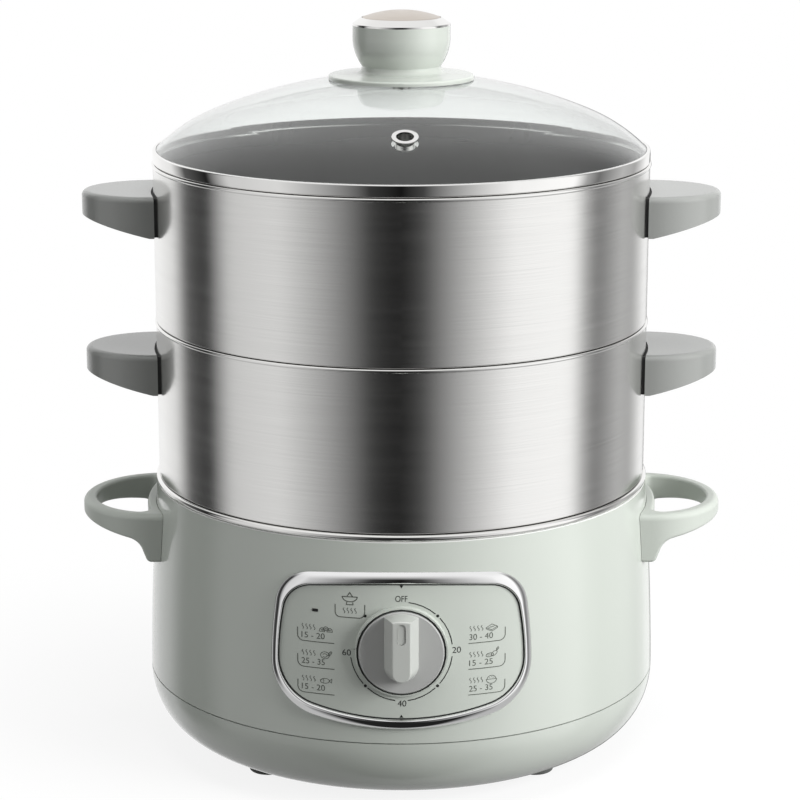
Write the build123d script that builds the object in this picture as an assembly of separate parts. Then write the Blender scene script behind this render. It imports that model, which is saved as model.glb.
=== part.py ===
from build123d import *
import math
import os

# Electric food steamer: a heated base with a stainless pot, two stainless tiers and a glass lid.
# Millimetres. The origin is on the pot's axis at table height, +Z up, -Y the front, +X the right.

# Clearances
running_gap = 0.4  # between pieces that move past each other
seat_gap = 0.3  # under a piece that is only set down on another
fit_gap = 0.15  # between fixed pieces that fit into each other
film_gap = 0.04  # between curved faces that are pressed together

# Base outline
foot_height = 4.0
cover_height = 36.0
shell_height = 102.8
seam_gap = 0.6
shell_top_radius = 131.2
shell_seam_radius = 136.55
shell_bulge = 0.88  # how far the side swells out of the straight line from top to seam
shell_wall = 2.8
cover_flat_radius = 96.0
cover_squareness = 0.75  # power that draws the bowl's corner out square
cover_wall = 2.6
cover_lip_height = 5.0
cover_lip_wall = 1.8

# Pot
pot_seal_thickness = 0.6
pot_seal_width = 2.2
pot_bead_radius = 1.6
pot_bead_overhang = 0.3  # past the shell's top edge
pot_wall = 1.0
pot_mouth_depth = 14.0
pot_ledge_drop = 4.0
pot_timer_gap = 3.1  # between the pot's side and the timer behind the dial
pot_side_lean = 5.0  # the floor's radius is this much less than the side's
pot_floor_height = 20.0  # inside floor above the base's seam
pot_floor_fillet = 14.0
pot_pan_depth = 7.0  # of the floor pan that the pot's wall is welded to
pot_ledge_fillet = 5.0

# Tiers
tier_inset = 1.2  # inside the shell's top edge
tier_height = 83.1
tier_wall = 0.8
tier_bead_radius = 1.0
tier_floor_fillet = 4.0
nest_depth = 8.0
nest_clearance = 0.9
steam_hole_radius = 4.0
steam_ring_pitch = 20.0
steam_ring_count = 5

# Tier handles
grip_reach = 38.0  # from the tier's side to the tip
grip_half_width = 31.5
grip_top_drop = 15.8  # below the tier's rim
grip_root_height = 21.4
grip_underside_slope = 13.5  # degrees
grip_top_fillet = 3.0
gasket_thickness = 1.2
gasket_inset = 0.6
grip_bolt_spacing = 30.0
grip_bolt_radius = 2.0
grip_bolt_head_radius = 4.0
grip_bolt_head_height = 1.6
grip_bolt_length = 16.0

# Lid
lid_band_height = 6.2
lid_band_wall = 0.8
lid_nest_depth = 6.0
lid_nest_clearance = 1.4
glass_inset = 2.0  # inside the rim band
glass_crown_radius = 262.0
glass_shoulder_width = 26.0
glass_shoulder_radius = 86.0
glass_thickness = 4.0
glass_hole_radius = 3.2
vent_inset = 2.6  # inside the start of the glass's shoulder
vent_turn = 1.0  # degrees round from the front
vent_hole_radius = 5.0
vent_flange_radius = 6.6
vent_flange_thickness = 0.7
vent_tube_wall = 0.5

# Lid knob
skirt_radius = 38.0
skirt_edge = 2.2
skirt_rise = 1.2  # from the edge to the foot of the neck
skirt_edge_fillet = 1.0
knob_gasket_thickness = 0.4
knob_gasket_inset = 1.5
knob_neck_radius = 20.6
knob_neck_height = 3.4
knob_neck_sweep = 3.6  # radius of the curve from the skirt up to the neck
knob_belly_radius = 23.7
knob_belly_height = 5.6  # above the neck
knob_radius = 25.4
knob_side_height = 16.0  # above the neck, where the side turns upright
knob_height = 20.9
knob_wall = 3.0
knob_post_radius = 6.0
ring_height = 4.0
ring_side_height = 1.0  # below the bevel
ring_fillet = 0.6
ring_land = 0.4  # level, round the cap
ring_ledge = 2.0
cap_radius = 20.4
cap_edge_height = 2.0
cap_rise = 3.7
cap_fillet = 1.2
knob_screw_radius = 2.5
knob_screw_head_radius = 5.0
knob_screw_head_height = 3.0
knob_screw_bite = 12.0  # into the knob's post
knob_washer_radius = 9.0
knob_washer_thickness = 1.2

# Base handles
loop_length = 39.4  # beyond the shell's side
loop_half_width = 43.0
loop_member = 7.0
loop_saddle = 4.5  # the part that lies along the shell, between the arms
loop_hole_corner = 5.0
loop_top_drop = 11.6  # below the shell's top
loop_end_height = 8.2  # at the tip
loop_underside_slope = 10.5  # degrees
loop_knee = 6.4  # beyond the shell's side, where the underside turns down
loop_root_height = 26.2
loop_root_slant = 4.6
loop_sweep_radius = 9.0
loop_root_fillet = 3.0
loop_outer_fillet = 3.2
loop_inner_fillet = 1.6
loop_under_fillet = 1.6
loop_screw_radius = 2.0
loop_screw_head_radius = 4.0
loop_screw_head_height = 2.0
loop_screw_length = 12.0
loop_screw_drop = 7.0  # below the handle's top
loop_screw_inset = 0.5  # inside the middle of the arm

# Control panel, seen square on
panel_top_half_width = 60.0
panel_bottom_half_width = 64.5
panel_belly = 2.6
panel_top_corner = 36.0  # above the dial's axis
panel_bottom_corner = 30.3  # below it
panel_top_arch = 3.8
panel_bottom_sag = 10.8
panel_top_radius = 20.0
panel_bottom_radius = 27.0
panel_back_gap = 0.2
panel_proud = 2.2
frame_proud = 3.9
frame_side_width = 4.0
frame_end_width = 6.0
frame_fillet = 1.8
panel_peg_radius = 3.2
panel_peg_bore = 1.4
panel_peg_angle = 22.5
panel_peg_rise = 21.0  # above and below the dial's axis
panel_screw_radius = 1.25
panel_screw_head_radius = 4.6
panel_screw_head_height = 1.8
panel_screw_length = 4.2
panel_screw_gap = 0.5  # clears the slope of the shell's inside
lens_angle = -18.3
lens_rise = 18.6  # above the dial's axis
lens_half_width = 1.4
lens_half_height = 0.65
lens_proud = 0.2
lamp_radius = 2.5
lamp_length = 9.0

# Timer dial
dial_axis_height = 49.2  # above the base's seam
dial_radius = 21.2
dial_thickness = 2.2
dial_gap = 0.6
dial_back_gap = 0.5
dial_fillet = 0.6
collar_wall = 1.2
collar_proud = 2.4  # in front of the panel's face at the axis
hub_radius = 6.0
knob_bar_half_width = 8.5
knob_bar_foot = 15.0  # lower end below the axis
knob_bar_height = 12.0
knob_bar_taper = 18.0  # degrees
knob_bar_rim_inset = 0.8
knob_bar_fillet = 0.9
pointer_half_width = 2.0
pointer_length = 10.4
pointer_depth = 1.4
pointer_sink = 0.6  # below the grip's face
pointer_top_drop = 2.4  # below the dial's edge

# Timer
shaft_radius = 3.0
shaft_flat_depth = 0.8
shaft_bearing_gap = 0.3
shaft_engagement = 8.0
boss_radius = 24.0
timer_shell_gap = 1.6  # between the corners of the timer's plate and the shell
boss_bore_gap = 1.0
timer_plate_thickness = 1.2
timer_half_width = 22.0
timer_depth = 20.0
timer_case_wall = 1.5
timer_screw_spacing = 30.0
timer_screw_radius = 1.5
timer_screw_head_radius = 2.8
timer_screw_head_height = 1.4
timer_screw_sink = 3.0  # from the panel's face to the underside of the head
timer_screw_length = 12.0
cam_radius = 11.0
cam_thickness = 4.0
cam_notch_radius = 2.0
spring_inner_radius = 3.3
spring_strip = 0.7
spring_pitch = 1.8
spring_turns = 5
spring_width = 6.0
spring_back_gap = 0.8
blade_thickness = 0.6
blade_width = 4.0
blade_height = 26.0
blade_spacing = 4.5
blade_cam_gap = 1.2
blade_tab = 6.0  # below the timer's case
bell_side = 8.0
bell_radius = 11.0
bell_height = 5.0
bell_wall = 0.9
bell_post_radius = 1.5
bell_post_length = 1.6

# Heating
plate_radius = 72.0
plate_thickness = 8.0
element_ring_radius = 55.0
element_tube_radius = 4.0
element_gap_angle = 60.0
element_leg = 12.0
element_pin_radius = 1.5
element_pin_length = 9.0
stud_radius = 2.0
stud_collar_radius = 3.5
stud_circle = 64.0
stud_tail = 4.0
clip_stud_side = 20.0
clip_stud_length = 4.6
nut_radius = 3.6
nut_height = 2.4
shield_radius = 86.0
shield_thickness = 0.8
shield_drop = 8.0  # below the heating plate
shield_window_radius = 28.0
shield_pin_hole_radius = 5.0
thermostat_radius = 8.0
thermostat_height = 7.0
thermostat_cap_radius = 9.5
thermostat_cap_height = 1.5
clip_thickness = 1.0
clip_half_width = 5.0
clip_half_span = 15.0
clip_foot = 10.0
fuse_radius = 3.0
fuse_length = 22.0
fuse_run = 38.8  # from above the timer's terminal to its middle

# Underside
foot_radius = 10.0
foot_circle = 99.0
foot_recess = 1.2
foot_stem_radius = 2.8
foot_bulb_radius = 3.7
foot_bulb_height = 2.4
foot_bulb_gap = 0.3  # clears the curve of the cover's inside
foot_edge_fillet = 1.2
tower_circle = 121.0
tower_angle = 20.0
tower_radius = 5.5
tower_height = 20.0
tower_cap = 5.0
cover_screw_radius = 1.6
cover_screw_head_radius = 3.2
cover_screw_head_height = 2.2
cover_screw_length = 20.0
pillar_radius = 4.5
pillar_height = 34.0
rib_thickness = 2.4
rib_height = 12.0
post_circle = 79.0
post_radius = 5.0
slot_half_length = 12.0
slot_half_width = 1.5
slot_pitch = 8.0
slot_count = 6

# Power inlet
inlet_height = 26.0  # above the base's seam
inlet_pad_half_width = 28.0
inlet_pad_half_height = 15.0
inlet_pad_proud = 8.0
inlet_pad_thickness = 14.6
inlet_pad_corner = 5.0
inlet_flange_half_width = 25.0
inlet_flange_half_height = 12.0
inlet_flange_thickness = 2.4
inlet_flange_corner = 3.0
inlet_body_half_width = 13.6
inlet_body_half_height = 10.4
inlet_body_depth = 22.0
inlet_cavity_half_width = 12.1
inlet_cavity_half_height = 8.8
inlet_cavity_depth = 16.0
inlet_pin_side = 7.0
inlet_pin_offset = 2.0
inlet_pin_half_thickness = 1.0
inlet_pin_half_height = 2.0
inlet_pin_length = 14.0
inlet_tail_length = 5.0
inlet_screw_side = 20.0
inlet_screw_radius = 1.6
inlet_screw_head_radius = 3.0
inlet_screw_head_height = 1.8
inlet_screw_length = 10.0

# Leads
lead_radius = 1.3
lead_bend = 10.0
lead_inlet_bend = 4.0
lead_inlet_run = 6.0
lead_floor_gap = 17.0  # above the inside of the base's floor

# Heights worked out from the sizes
seam_z = foot_height + cover_height
shell_top_z = seam_z + shell_height
pot_rim_z = shell_top_z + pot_seal_thickness + 2 * pot_bead_radius
pot_floor_z = seam_z + pot_floor_height
pot_pan_z = pot_floor_z + pot_pan_depth
pot_ledge_z = pot_rim_z - pot_mouth_depth
tier_low_z = {"lower": pot_rim_z + seat_gap}
tier_rim_z = {"lower": tier_low_z["lower"] + tier_height}
tier_low_z["upper"] = tier_rim_z["lower"] + seat_gap
tier_rim_z["upper"] = tier_low_z["upper"] + tier_height
lid_low_z = tier_rim_z["upper"] + seat_gap
lid_top_z = lid_low_z + lid_band_height
dial_axis_z = seam_z + dial_axis_height
inlet_z = seam_z + inlet_height
plate_top_z = pot_floor_z - pot_wall
plate_low_z = plate_top_z - plate_thickness
shield_top_z = plate_low_z - shield_drop
shield_low_z = shield_top_z - shield_thickness
inside_floor_z = foot_height + cover_wall
tower_top_z = foot_height + tower_height
lead_floor_z = inside_floor_z + lead_floor_gap
loop_top_z = shell_top_z - loop_top_drop
loop_root_z = loop_top_z - loop_root_height

# Radii worked out from the sizes
tier_radius = shell_top_radius - tier_inset
glass_edge_radius = tier_radius - glass_inset
glass_shoulder_start = glass_edge_radius - glass_shoulder_width
vent_distance = glass_shoulder_start - vent_inset
pot_mouth_radius = shell_top_radius - shell_wall - running_gap - pot_wall
pot_bead_ring = shell_top_radius + pot_bead_overhang - pot_bead_radius
nest_radius = pot_mouth_radius - nest_clearance
tier_bead_ring = tier_radius - tier_wall / 2
lid_nest_radius = tier_bead_ring - tier_bead_radius - lid_nest_clearance

# Angles, in degrees round from the front
tower_angles = [90 - tower_angle, 90 + tower_angle, 270 - tower_angle, 270 + tower_angle]
foot_angles = [45, 135, 225, 315]
post_angles = [0, 120, 240]
stud_angles = [60, 180, 300]


# Helpers

def upright(radius, low, high, x=0.0, y=0.0):
    """A vertical cylinder between two heights."""
    return Pos(x, y, low) * Cylinder(radius, high - low, align=(Align.CENTER, Align.CENTER, Align.MIN))


def around(angle, distance):
    """The point at a distance from the axis, an angle round from the front."""
    turn = math.radians(angle)
    return distance * math.sin(turn), -distance * math.cos(turn)


def facing(angle, z, distance):
    """The plane there that faces outwards, with its own X along the wall and its Y up."""
    turn = math.radians(angle)
    return Plane(
        origin=(*around(angle, distance), z),
        x_dir=(math.cos(turn), math.sin(turn), 0),
        z_dir=(math.sin(turn), -math.cos(turn), 0),
    )


def pin_on(plane, radius, start, end):
    """A cylinder along a plane's normal, between two distances from the plane."""
    return plane * Pos(0, 0, start) * Cylinder(
        radius, end - start, align=(Align.CENTER, Align.CENTER, Align.MIN)
    )


def block_on(plane, x_half, y_half, start, end):
    """A box that is centred on a plane's normal, between two distances from the plane."""
    return plane * Pos(0, 0, start) * Box(
        2 * x_half, 2 * y_half, end - start, align=(Align.CENTER, Align.CENTER, Align.MIN)
    )


def turned(*edges):
    """The solid that a closed outline of (r, z) edges makes when it is turned about Z."""
    return revolve(Plane.XZ * make_face(Wire(list(edges))), Axis.Z)


def turned_polygon(*points):
    """A turned solid with straight sides."""
    return turned(*Polyline(*points, close=True).edges())


def turned_sheet(points, radii, wall, side):
    """A pressed sheet turned about Z: one face follows the points, its wall lies to one side."""
    return revolve(Plane.XZ * sheet_outline(points, radii, wall, side), Axis.Z)


def sheet_outline(points, radii, wall, side):
    """A pressed sheet's section, in (r, z)."""
    line = Wire(FilletPolyline(*points, radius=radii).edges())
    return make_face(line.offset_2d(wall, kind=Kind.INTERSECTION, side=side))


def from_front(face, start, end):
    """A face drawn square on from the front, given depth from start to end towards the front."""
    return extrude(Plane.XZ.offset(start) * face, end - start)


def rims_near(solid, radius, z):
    """A turned solid's circular edges of one radius at one height."""
    return solid.edges().filter_by(GeomType.CIRCLE).filter_by(
        lambda edge: abs(edge.radius - radius) < 0.01 and abs(edge.arc_center.Z - z) < 0.01
    )


def group(*pieces):
    """Separate solids that share one node."""
    return Compound(children=[solid for piece in pieces for solid in piece.solids()])


def tube_along(points, bends, radius):
    """A round lead along straight runs joined by tangent arcs."""
    path = Wire(FilletPolyline(*points, radius=bends).edges())
    section = Plane(origin=path @ 0, z_dir=path % 0) * Circle(radius)
    return sweep(section, path=path)


# The shell's side is an arc through its top and its seam

shell_chord = math.hypot(shell_seam_radius - shell_top_radius, shell_height)
shell_lean = math.atan2(shell_seam_radius - shell_top_radius, shell_height)
shell_arc_radius = shell_chord ** 2 / (8 * shell_bulge) + shell_bulge / 2
shell_sagitta_reach = shell_arc_radius - shell_bulge
shell_arc_r = (shell_top_radius + shell_seam_radius) / 2 - shell_sagitta_reach * math.cos(shell_lean)
shell_arc_z = seam_z + shell_height / 2 - shell_sagitta_reach * math.sin(shell_lean)


def shell_radius(z, offset=0.0):
    """The shell's radius at a height, or that of a surface at a distance outside it."""
    return shell_arc_r + math.sqrt((shell_arc_radius + offset) ** 2 - (z - shell_arc_z) ** 2)


def shell_band(inner, outer, low, high):
    """The turned layer between two surfaces parallel to the shell's outer face."""
    middle = (low + high) / 2
    inner_low, inner_high = (shell_radius(low, inner), low), (shell_radius(high, inner), high)
    outer_low, outer_high = (shell_radius(low, outer), low), (shell_radius(high, outer), high)
    return turned(
        Line(inner_low, outer_low),
        ThreePointArc(outer_low, (shell_radius(middle, outer), middle), outer_high),
        Line(outer_high, inner_high),
        ThreePointArc(inner_high, (shell_radius(middle, inner), middle), inner_low),
    )


def shell_core(offset, low, high):
    """Everything inside a surface parallel to the shell's outer face."""
    middle = (low + high) / 2
    return turned(
        Line((0, low), (shell_radius(low, offset), low)),
        ThreePointArc(
            (shell_radius(low, offset), low),
            (shell_radius(middle, offset), middle),
            (shell_radius(high, offset), high),
        ),
        Line((shell_radius(high, offset), high), (0, high)),
        Line((0, high), (0, low)),
    )


# Reference planes on the base

dial_plane = Plane(origin=(0, 0, dial_axis_z), x_dir=(1, 0, 0), z_dir=(0, -1, 0))
inlet_face_y = shell_radius(inlet_z) + inlet_pad_proud
inlet_plane = Plane(origin=(0, inlet_face_y, inlet_z), x_dir=(-1, 0, 0), z_dir=(0, 1, 0))
lens_z = dial_axis_z + lens_rise
lens_plane = facing(lens_angle, lens_z, shell_radius(lens_z))
panel_peg_planes = [
    facing(side * panel_peg_angle, z, shell_radius(z))
    for side in (-1, 1)
    for z in (dial_axis_z - panel_peg_rise, dial_axis_z + panel_peg_rise)
]

# Distances in front of the axis for the dial and the timer
panel_face = shell_radius(dial_axis_z, panel_proud)
collar_front = panel_face + collar_proud
dial_back = dial_back_gap + max(
    shell_radius(dial_axis_z + rise, panel_proud) for rise in (-dial_radius, 0, dial_radius)
)
dial_front = dial_back + dial_thickness
bar_front = dial_front + knob_bar_height
boss_back = -timer_shell_gap + min(
    math.sqrt(shell_radius(dial_axis_z + rise, -shell_wall) ** 2 - timer_half_width ** 2)
    for rise in (-timer_half_width, timer_half_width)
)
timer_plate_back = boss_back - timer_plate_thickness
timer_back = timer_plate_back - timer_depth
timer_screw_seat = panel_face - timer_screw_sink
shaft_front = dial_back + shaft_engagement
cam_back = timer_back + timer_case_wall + spring_back_gap + spring_width + spring_back_gap
timer_low_z = dial_axis_z - timer_half_width

# The pot's side stays clear of the timer
pot_wall_radius = timer_back - pot_timer_gap - pot_wall
pot_floor_radius = pot_wall_radius - pot_side_lean


# Base shell and bottom cover

def base_shell():
    shell = shell_band(-shell_wall, 0, seam_z + seam_gap / 2, shell_top_z)
    for angle in tower_angles:
        shell += screw_pillar(angle)
    pad = block_on(inlet_plane, inlet_pad_half_width, inlet_pad_half_height, -inlet_pad_thickness, 0)
    shell += fillet(pad.edges().filter_by(Axis.Y), inlet_pad_corner)
    shell -= block_on(
        inlet_plane, inlet_body_half_width + fit_gap, inlet_body_half_height + fit_gap,
        -inlet_body_depth, inlet_body_depth,
    )
    for x in (-inlet_screw_side, inlet_screw_side):
        shell -= inlet_plane * Pos(x, 0, 0) * Cylinder(inlet_screw_radius + fit_gap, 2 * inlet_body_depth)
    shell -= pin_on(dial_plane, boss_radius + fit_gap, boss_back, collar_front)
    for plane in panel_peg_planes:
        shell -= pin_on(plane, panel_peg_radius + fit_gap, -2 * shell_wall, shell_wall)
    shell -= pin_on(lens_plane, lamp_radius + fit_gap, -2 * shell_wall, shell_wall)
    for side in (-1, 1):
        for plane in loop_screw_planes(side):
            shell -= pin_on(plane, loop_screw_radius + fit_gap, 0, loop_screw_length)
    return shell


def screw_pillar(angle):
    """A screw pillar inside the shell, carried by a rib from the wall."""
    x, y = around(angle, tower_circle)
    low = tower_top_z + fit_gap
    high = tower_top_z + pillar_height
    reach = shell_radius(high, -shell_wall / 2) - tower_circle
    pillar = upright(pillar_radius, low, high, x, y)
    pillar += block_on(
        facing(angle, high - rib_height / 2, tower_circle), rib_thickness / 2, rib_height / 2, 0, reach
    )
    return pillar - upright(cover_screw_radius + fit_gap, low, low + cover_screw_length, x, y)


def cover_side(inset):
    """The bowl's corner from the seam to the flat, drawn by a rounded-square formula."""
    width = shell_seam_radius - inset - cover_flat_radius
    height = cover_height - seam_gap / 2 - inset
    top = seam_z - seam_gap / 2
    points = []
    for step in range(0, 91, 10):
        turn = math.radians(step)
        along = width * max(math.cos(turn), 0.0) ** cover_squareness
        points.append((cover_flat_radius + along, top - height * math.sin(turn)))
    points[-1] = (cover_flat_radius, top - height)
    return Spline(*points, tangents=[(0, -1), (-1, 0)])


def cover_bowl(inset):
    """Everything inside the bowl's outer face, or inside a face parallel to it."""
    side = cover_side(inset)
    rim, flat = side @ 0, side @ 1
    return turned(
        side,
        Line(flat, (0, flat.Y)),
        Line((0, flat.Y), (0, rim.Y)),
        Line((0, rim.Y), rim),
    )


def bottom_cover():
    bowl = cover_bowl(0)
    cover = bowl - cover_bowl(cover_wall)
    lip_outer = shell_radius(seam_z, -shell_wall) - running_gap
    lip_top_z = seam_z + cover_lip_height
    cover += turned_polygon(
        (lip_outer, seam_z - cover_lip_height),
        (lip_outer, lip_top_z),
        (lip_outer - cover_lip_wall, lip_top_z),
        (lip_outer - cover_lip_wall, seam_z - cover_lip_height),
    ) + turned_polygon(
        (lip_outer - cover_lip_wall, seam_z - cover_lip_height),
        (lip_outer - cover_lip_wall, seam_z - seam_gap / 2),
        (shell_seam_radius - cover_wall, seam_z - seam_gap / 2),
        (shell_seam_radius - cover_wall, seam_z - cover_lip_height),
    )
    for angle in post_angles:
        cover += upright(post_radius, inside_floor_z, shield_low_z, *around(angle, post_circle))
    for angle in tower_angles:
        x, y = around(angle, tower_circle)
        cover += upright(tower_radius, foot_height, tower_top_z, x, y) & (bowl + upright(
            tower_radius, seam_z - seam_gap, seam_z, x, y))
        cover -= upright(cover_screw_head_radius + fit_gap, 0, tower_top_z - tower_cap, x, y)
        cover -= upright(cover_screw_radius + fit_gap, 0, seam_z, x, y)
    for angle in foot_angles:
        x, y = around(angle, foot_circle)
        cover -= upright(foot_radius + fit_gap, 0, foot_height + foot_recess, x, y)
        cover -= upright(foot_stem_radius + fit_gap, 0, seam_z, x, y)
    for index in range(slot_count):
        y = (index - (slot_count - 1) / 2) * slot_pitch
        cover -= Pos(0, y, 0) * extrude(SlotOverall(2 * slot_half_length, 2 * slot_half_width), seam_z / 2)
    return cover


def bottom_cover_screws():
    screws = []
    for angle in tower_angles:
        x, y = around(angle, tower_circle)
        seat = tower_top_z - tower_cap
        head = upright(cover_screw_head_radius, seat - cover_screw_head_height, seat, x, y)
        screws.append(head + upright(cover_screw_radius, seat, seat + cover_screw_length, x, y))
    return group(*screws)


def rubber_foot():
    top = foot_height + foot_recess
    inside = inside_floor_z + foot_bulb_gap
    disc = fillet(upright(foot_radius, 0, top).edges().sort_by(Axis.Z)[0], foot_edge_fillet)
    return disc + upright(foot_stem_radius, top, inside) + upright(
        foot_bulb_radius, inside, inside + foot_bulb_height
    )


def rubber_feet():
    return group(*[Pos(*around(angle, foot_circle), 0) * rubber_foot() for angle in foot_angles])


# Base handles, modelled on the right and mirrored to the left

loop_side_x = math.sqrt(shell_radius(loop_top_z) ** 2 - loop_half_width ** 2)
loop_middle_x = shell_radius(loop_top_z)
loop_knee_x = loop_middle_x + loop_knee
loop_screw_y = loop_half_width - loop_member / 2 - loop_screw_inset
loop_screw_z = loop_top_z - loop_screw_drop


def loop_outline(inset):
    """An ellipse about the shell's side, drawn out straight to inside the shell."""
    half = loop_half_width - inset
    plan = Pos(loop_middle_x, 0) * Ellipse(loop_length - inset, half)
    return plan + Rectangle(loop_middle_x, 2 * half, align=(Align.MIN, Align.CENTER))


def loop_hole():
    """The finger hole: the outline a member's width in, as far as the saddle."""
    hole = extrude(loop_outline(loop_member) - Circle(loop_middle_x + loop_saddle), loop_root_height)
    return fillet(hole.edges().filter_by(Axis.Z).group_by(Axis.X)[0], loop_hole_corner)


def loop_edges(handle, inset):
    """The long edges above and below the handle's upright face at an inset from its outline."""
    def on_face(edge):
        point = edge @ 0.5
        beyond = max(point.X - loop_middle_x, 0.0) / (loop_length - inset)
        across = point.Y / (loop_half_width - inset)
        return abs(math.hypot(beyond, across) - 1) < 0.005 and abs((edge % 0.5).Z) < 0.98

    by_height = handle.edges().filter_by(on_face).group_by(Axis.Z)
    return by_height[-1], [edge for level in by_height[:-1] for edge in level]


def rounded_loop(handle):
    for inset, top_fillet in ((0, loop_outer_fillet), (loop_member, loop_inner_fillet)):
        handle = fillet(loop_edges(handle, inset)[1], loop_under_fillet)
        handle = fillet(loop_edges(handle, inset)[0], top_fillet)
    return handle


def loop_handle(side):
    start, past = loop_side_x / 2, loop_middle_x + 2 * loop_length
    slope = math.tan(math.radians(loop_underside_slope))
    tip_low_z = loop_top_z - loop_end_height
    knee_z = tip_low_z - (loop_length - loop_knee) * slope
    root_x = loop_knee_x - loop_root_slant
    ring = Pos(0, 0, loop_root_z) * (extrude(loop_outline(0), loop_root_height) - loop_hole())
    profile = FilletPolyline(
        (start, loop_top_z),
        (start, loop_root_z),
        (root_x, loop_root_z),
        (loop_knee_x, knee_z),
        (past, tip_low_z + loop_length * slope),
        (past, loop_top_z),
        radius=[0, 0, loop_root_fillet, loop_sweep_radius, 0, 0],
        close=True,
    )
    handle = rounded_loop(ring & extrude(Plane.XZ * make_face(profile), 2 * loop_half_width, both=True))
    handle -= shell_core(fit_gap, loop_root_z - loop_member, shell_top_z)
    for y in (-loop_screw_y, loop_screw_y):
        handle -= pin_on(loop_screw_plane(y), loop_screw_radius + fit_gap, 0, loop_screw_length + fit_gap)
    return handle if side > 0 else mirror(handle, Plane.YZ)


def loop_screw_plane(y):
    """Where a handle screw's head bears on the inside of the shell's right wall."""
    wall = shell_radius(loop_screw_z, -shell_wall)
    x = math.sqrt(wall ** 2 - (abs(y) + loop_screw_head_radius) ** 2) - fit_gap / 2
    return Plane(origin=(x, y, loop_screw_z), x_dir=(0, 1, 0), z_dir=(1, 0, 0))


def loop_screw_planes(side):
    planes = []
    for y in (-loop_screw_y, loop_screw_y):
        origin = loop_screw_plane(y).origin
        planes.append(Plane(
            origin=(side * origin.X, y, loop_screw_z), x_dir=(0, side, 0), z_dir=(side, 0, 0)
        ))
    return planes


def base_handle_screws():
    screws = []
    for side in (-1, 1):
        for plane in loop_screw_planes(side):
            head = pin_on(plane, loop_screw_head_radius, -loop_screw_head_height, 0)
            screws.append(head + pin_on(plane, loop_screw_radius, 0, loop_screw_length))
    return group(*screws)


# Pot

def pot_sheet():
    lip_z = pot_rim_z - pot_wall / 2
    sheet = turned_sheet(
        [
            (0, pot_floor_z),
            (pot_floor_radius, pot_floor_z),
            (pot_wall_radius, pot_ledge_z - pot_ledge_drop),
            (pot_mouth_radius, pot_ledge_z),
            (pot_mouth_radius, lip_z),
            (pot_bead_ring, lip_z),
        ],
        [pot_floor_fillet, pot_ledge_fillet, pot_ledge_fillet, pot_wall / 2],
        pot_wall,
        Side.RIGHT,
    )
    return sheet + Pos(0, 0, pot_rim_z - pot_bead_radius) * Torus(pot_bead_ring, pot_bead_radius)


def inner_pot():
    """The pot's wall and its rolled rim."""
    return pot_sheet() - upright(pot_mouth_radius, plate_low_z, pot_pan_z)


def inner_pot_floor():
    """The shallow pan that the wall is welded to, edge to edge."""
    return pot_sheet() & upright(pot_mouth_radius, plate_low_z, pot_pan_z)


def pot_seal_ring():
    outer = shell_top_radius - fit_gap
    return upright(outer, shell_top_z, shell_top_z + pot_seal_thickness) - upright(
        outer - pot_seal_width, shell_top_z - 1, pot_rim_z
    )


# Heating, under the pot

def heating_plate():
    plate = upright(plate_radius, plate_low_z, plate_top_z)
    plate -= element_sheath(element_tube_radius + fit_gap)
    for angle in stud_angles:
        x, y = around(angle, stud_circle)
        plate += upright(stud_collar_radius, shield_top_z, plate_low_z, x, y)
        plate += upright(stud_radius, shield_low_z - stud_tail, shield_top_z, x, y)
    for x in (-clip_stud_side, clip_stud_side):
        plate += upright(stud_radius, plate_low_z - clip_stud_length, plate_low_z, x)
    return plate


element_arc = CenterArc(
    (0, 0, plate_low_z), element_ring_radius, 270 + element_gap_angle / 2, 360 - element_gap_angle
)
element_ends = [
    (element_arc @ 0 - element_leg * (element_arc % 0), element_arc % 0),
    (element_arc @ 1 + element_leg * (element_arc % 1), -(element_arc % 1)),
]
element_pins = [end + 2 * element_pin_radius * inwards for end, inwards in element_ends]
element_pin_low_z = plate_low_z - element_tube_radius - element_pin_length


def element_sheath(radius):
    """The heating tube: most of a ring, with a straight leg on each end."""
    path = Wire([
        Line(element_ends[0][0], element_arc @ 0),
        element_arc,
        Line(element_arc @ 1, element_ends[1][0]),
    ])
    return sweep(Plane(origin=path @ 0, z_dir=path % 0) * Circle(radius), path=path)


def heating_element():
    element = element_sheath(element_tube_radius)
    for pin in element_pins:
        element += upright(element_pin_radius, element_pin_low_z, plate_low_z, pin.X, pin.Y)
    return element


def heat_shield():
    shield = upright(shield_radius, shield_low_z, shield_top_z)
    shield -= upright(shield_window_radius, 0, shell_top_z)
    for angle in stud_angles:
        shield -= upright(stud_radius + fit_gap, 0, shell_top_z, *around(angle, stud_circle))
    for pin in element_pins:
        shield -= upright(shield_pin_hole_radius, 0, shell_top_z, pin.X, pin.Y)
    return shield


def hexagon_nut(top, x, y):
    nut = Pos(x, y, top - nut_height) * extrude(RegularPolygon(nut_radius, 6), nut_height)
    return nut - upright(stud_radius + fit_gap, 0, shell_top_z, x, y)


def heater_nuts():
    nuts = [hexagon_nut(shield_low_z, *around(angle, stud_circle)) for angle in stud_angles]
    nuts += [hexagon_nut(plate_low_z - clip_thickness, x, 0) for x in (-clip_stud_side, clip_stud_side)]
    return group(*nuts)


def thermostat():
    cap = upright(thermostat_cap_radius, plate_low_z - thermostat_cap_height, plate_low_z)
    return cap + upright(thermostat_radius, plate_low_z - thermostat_height, plate_low_z)


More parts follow.
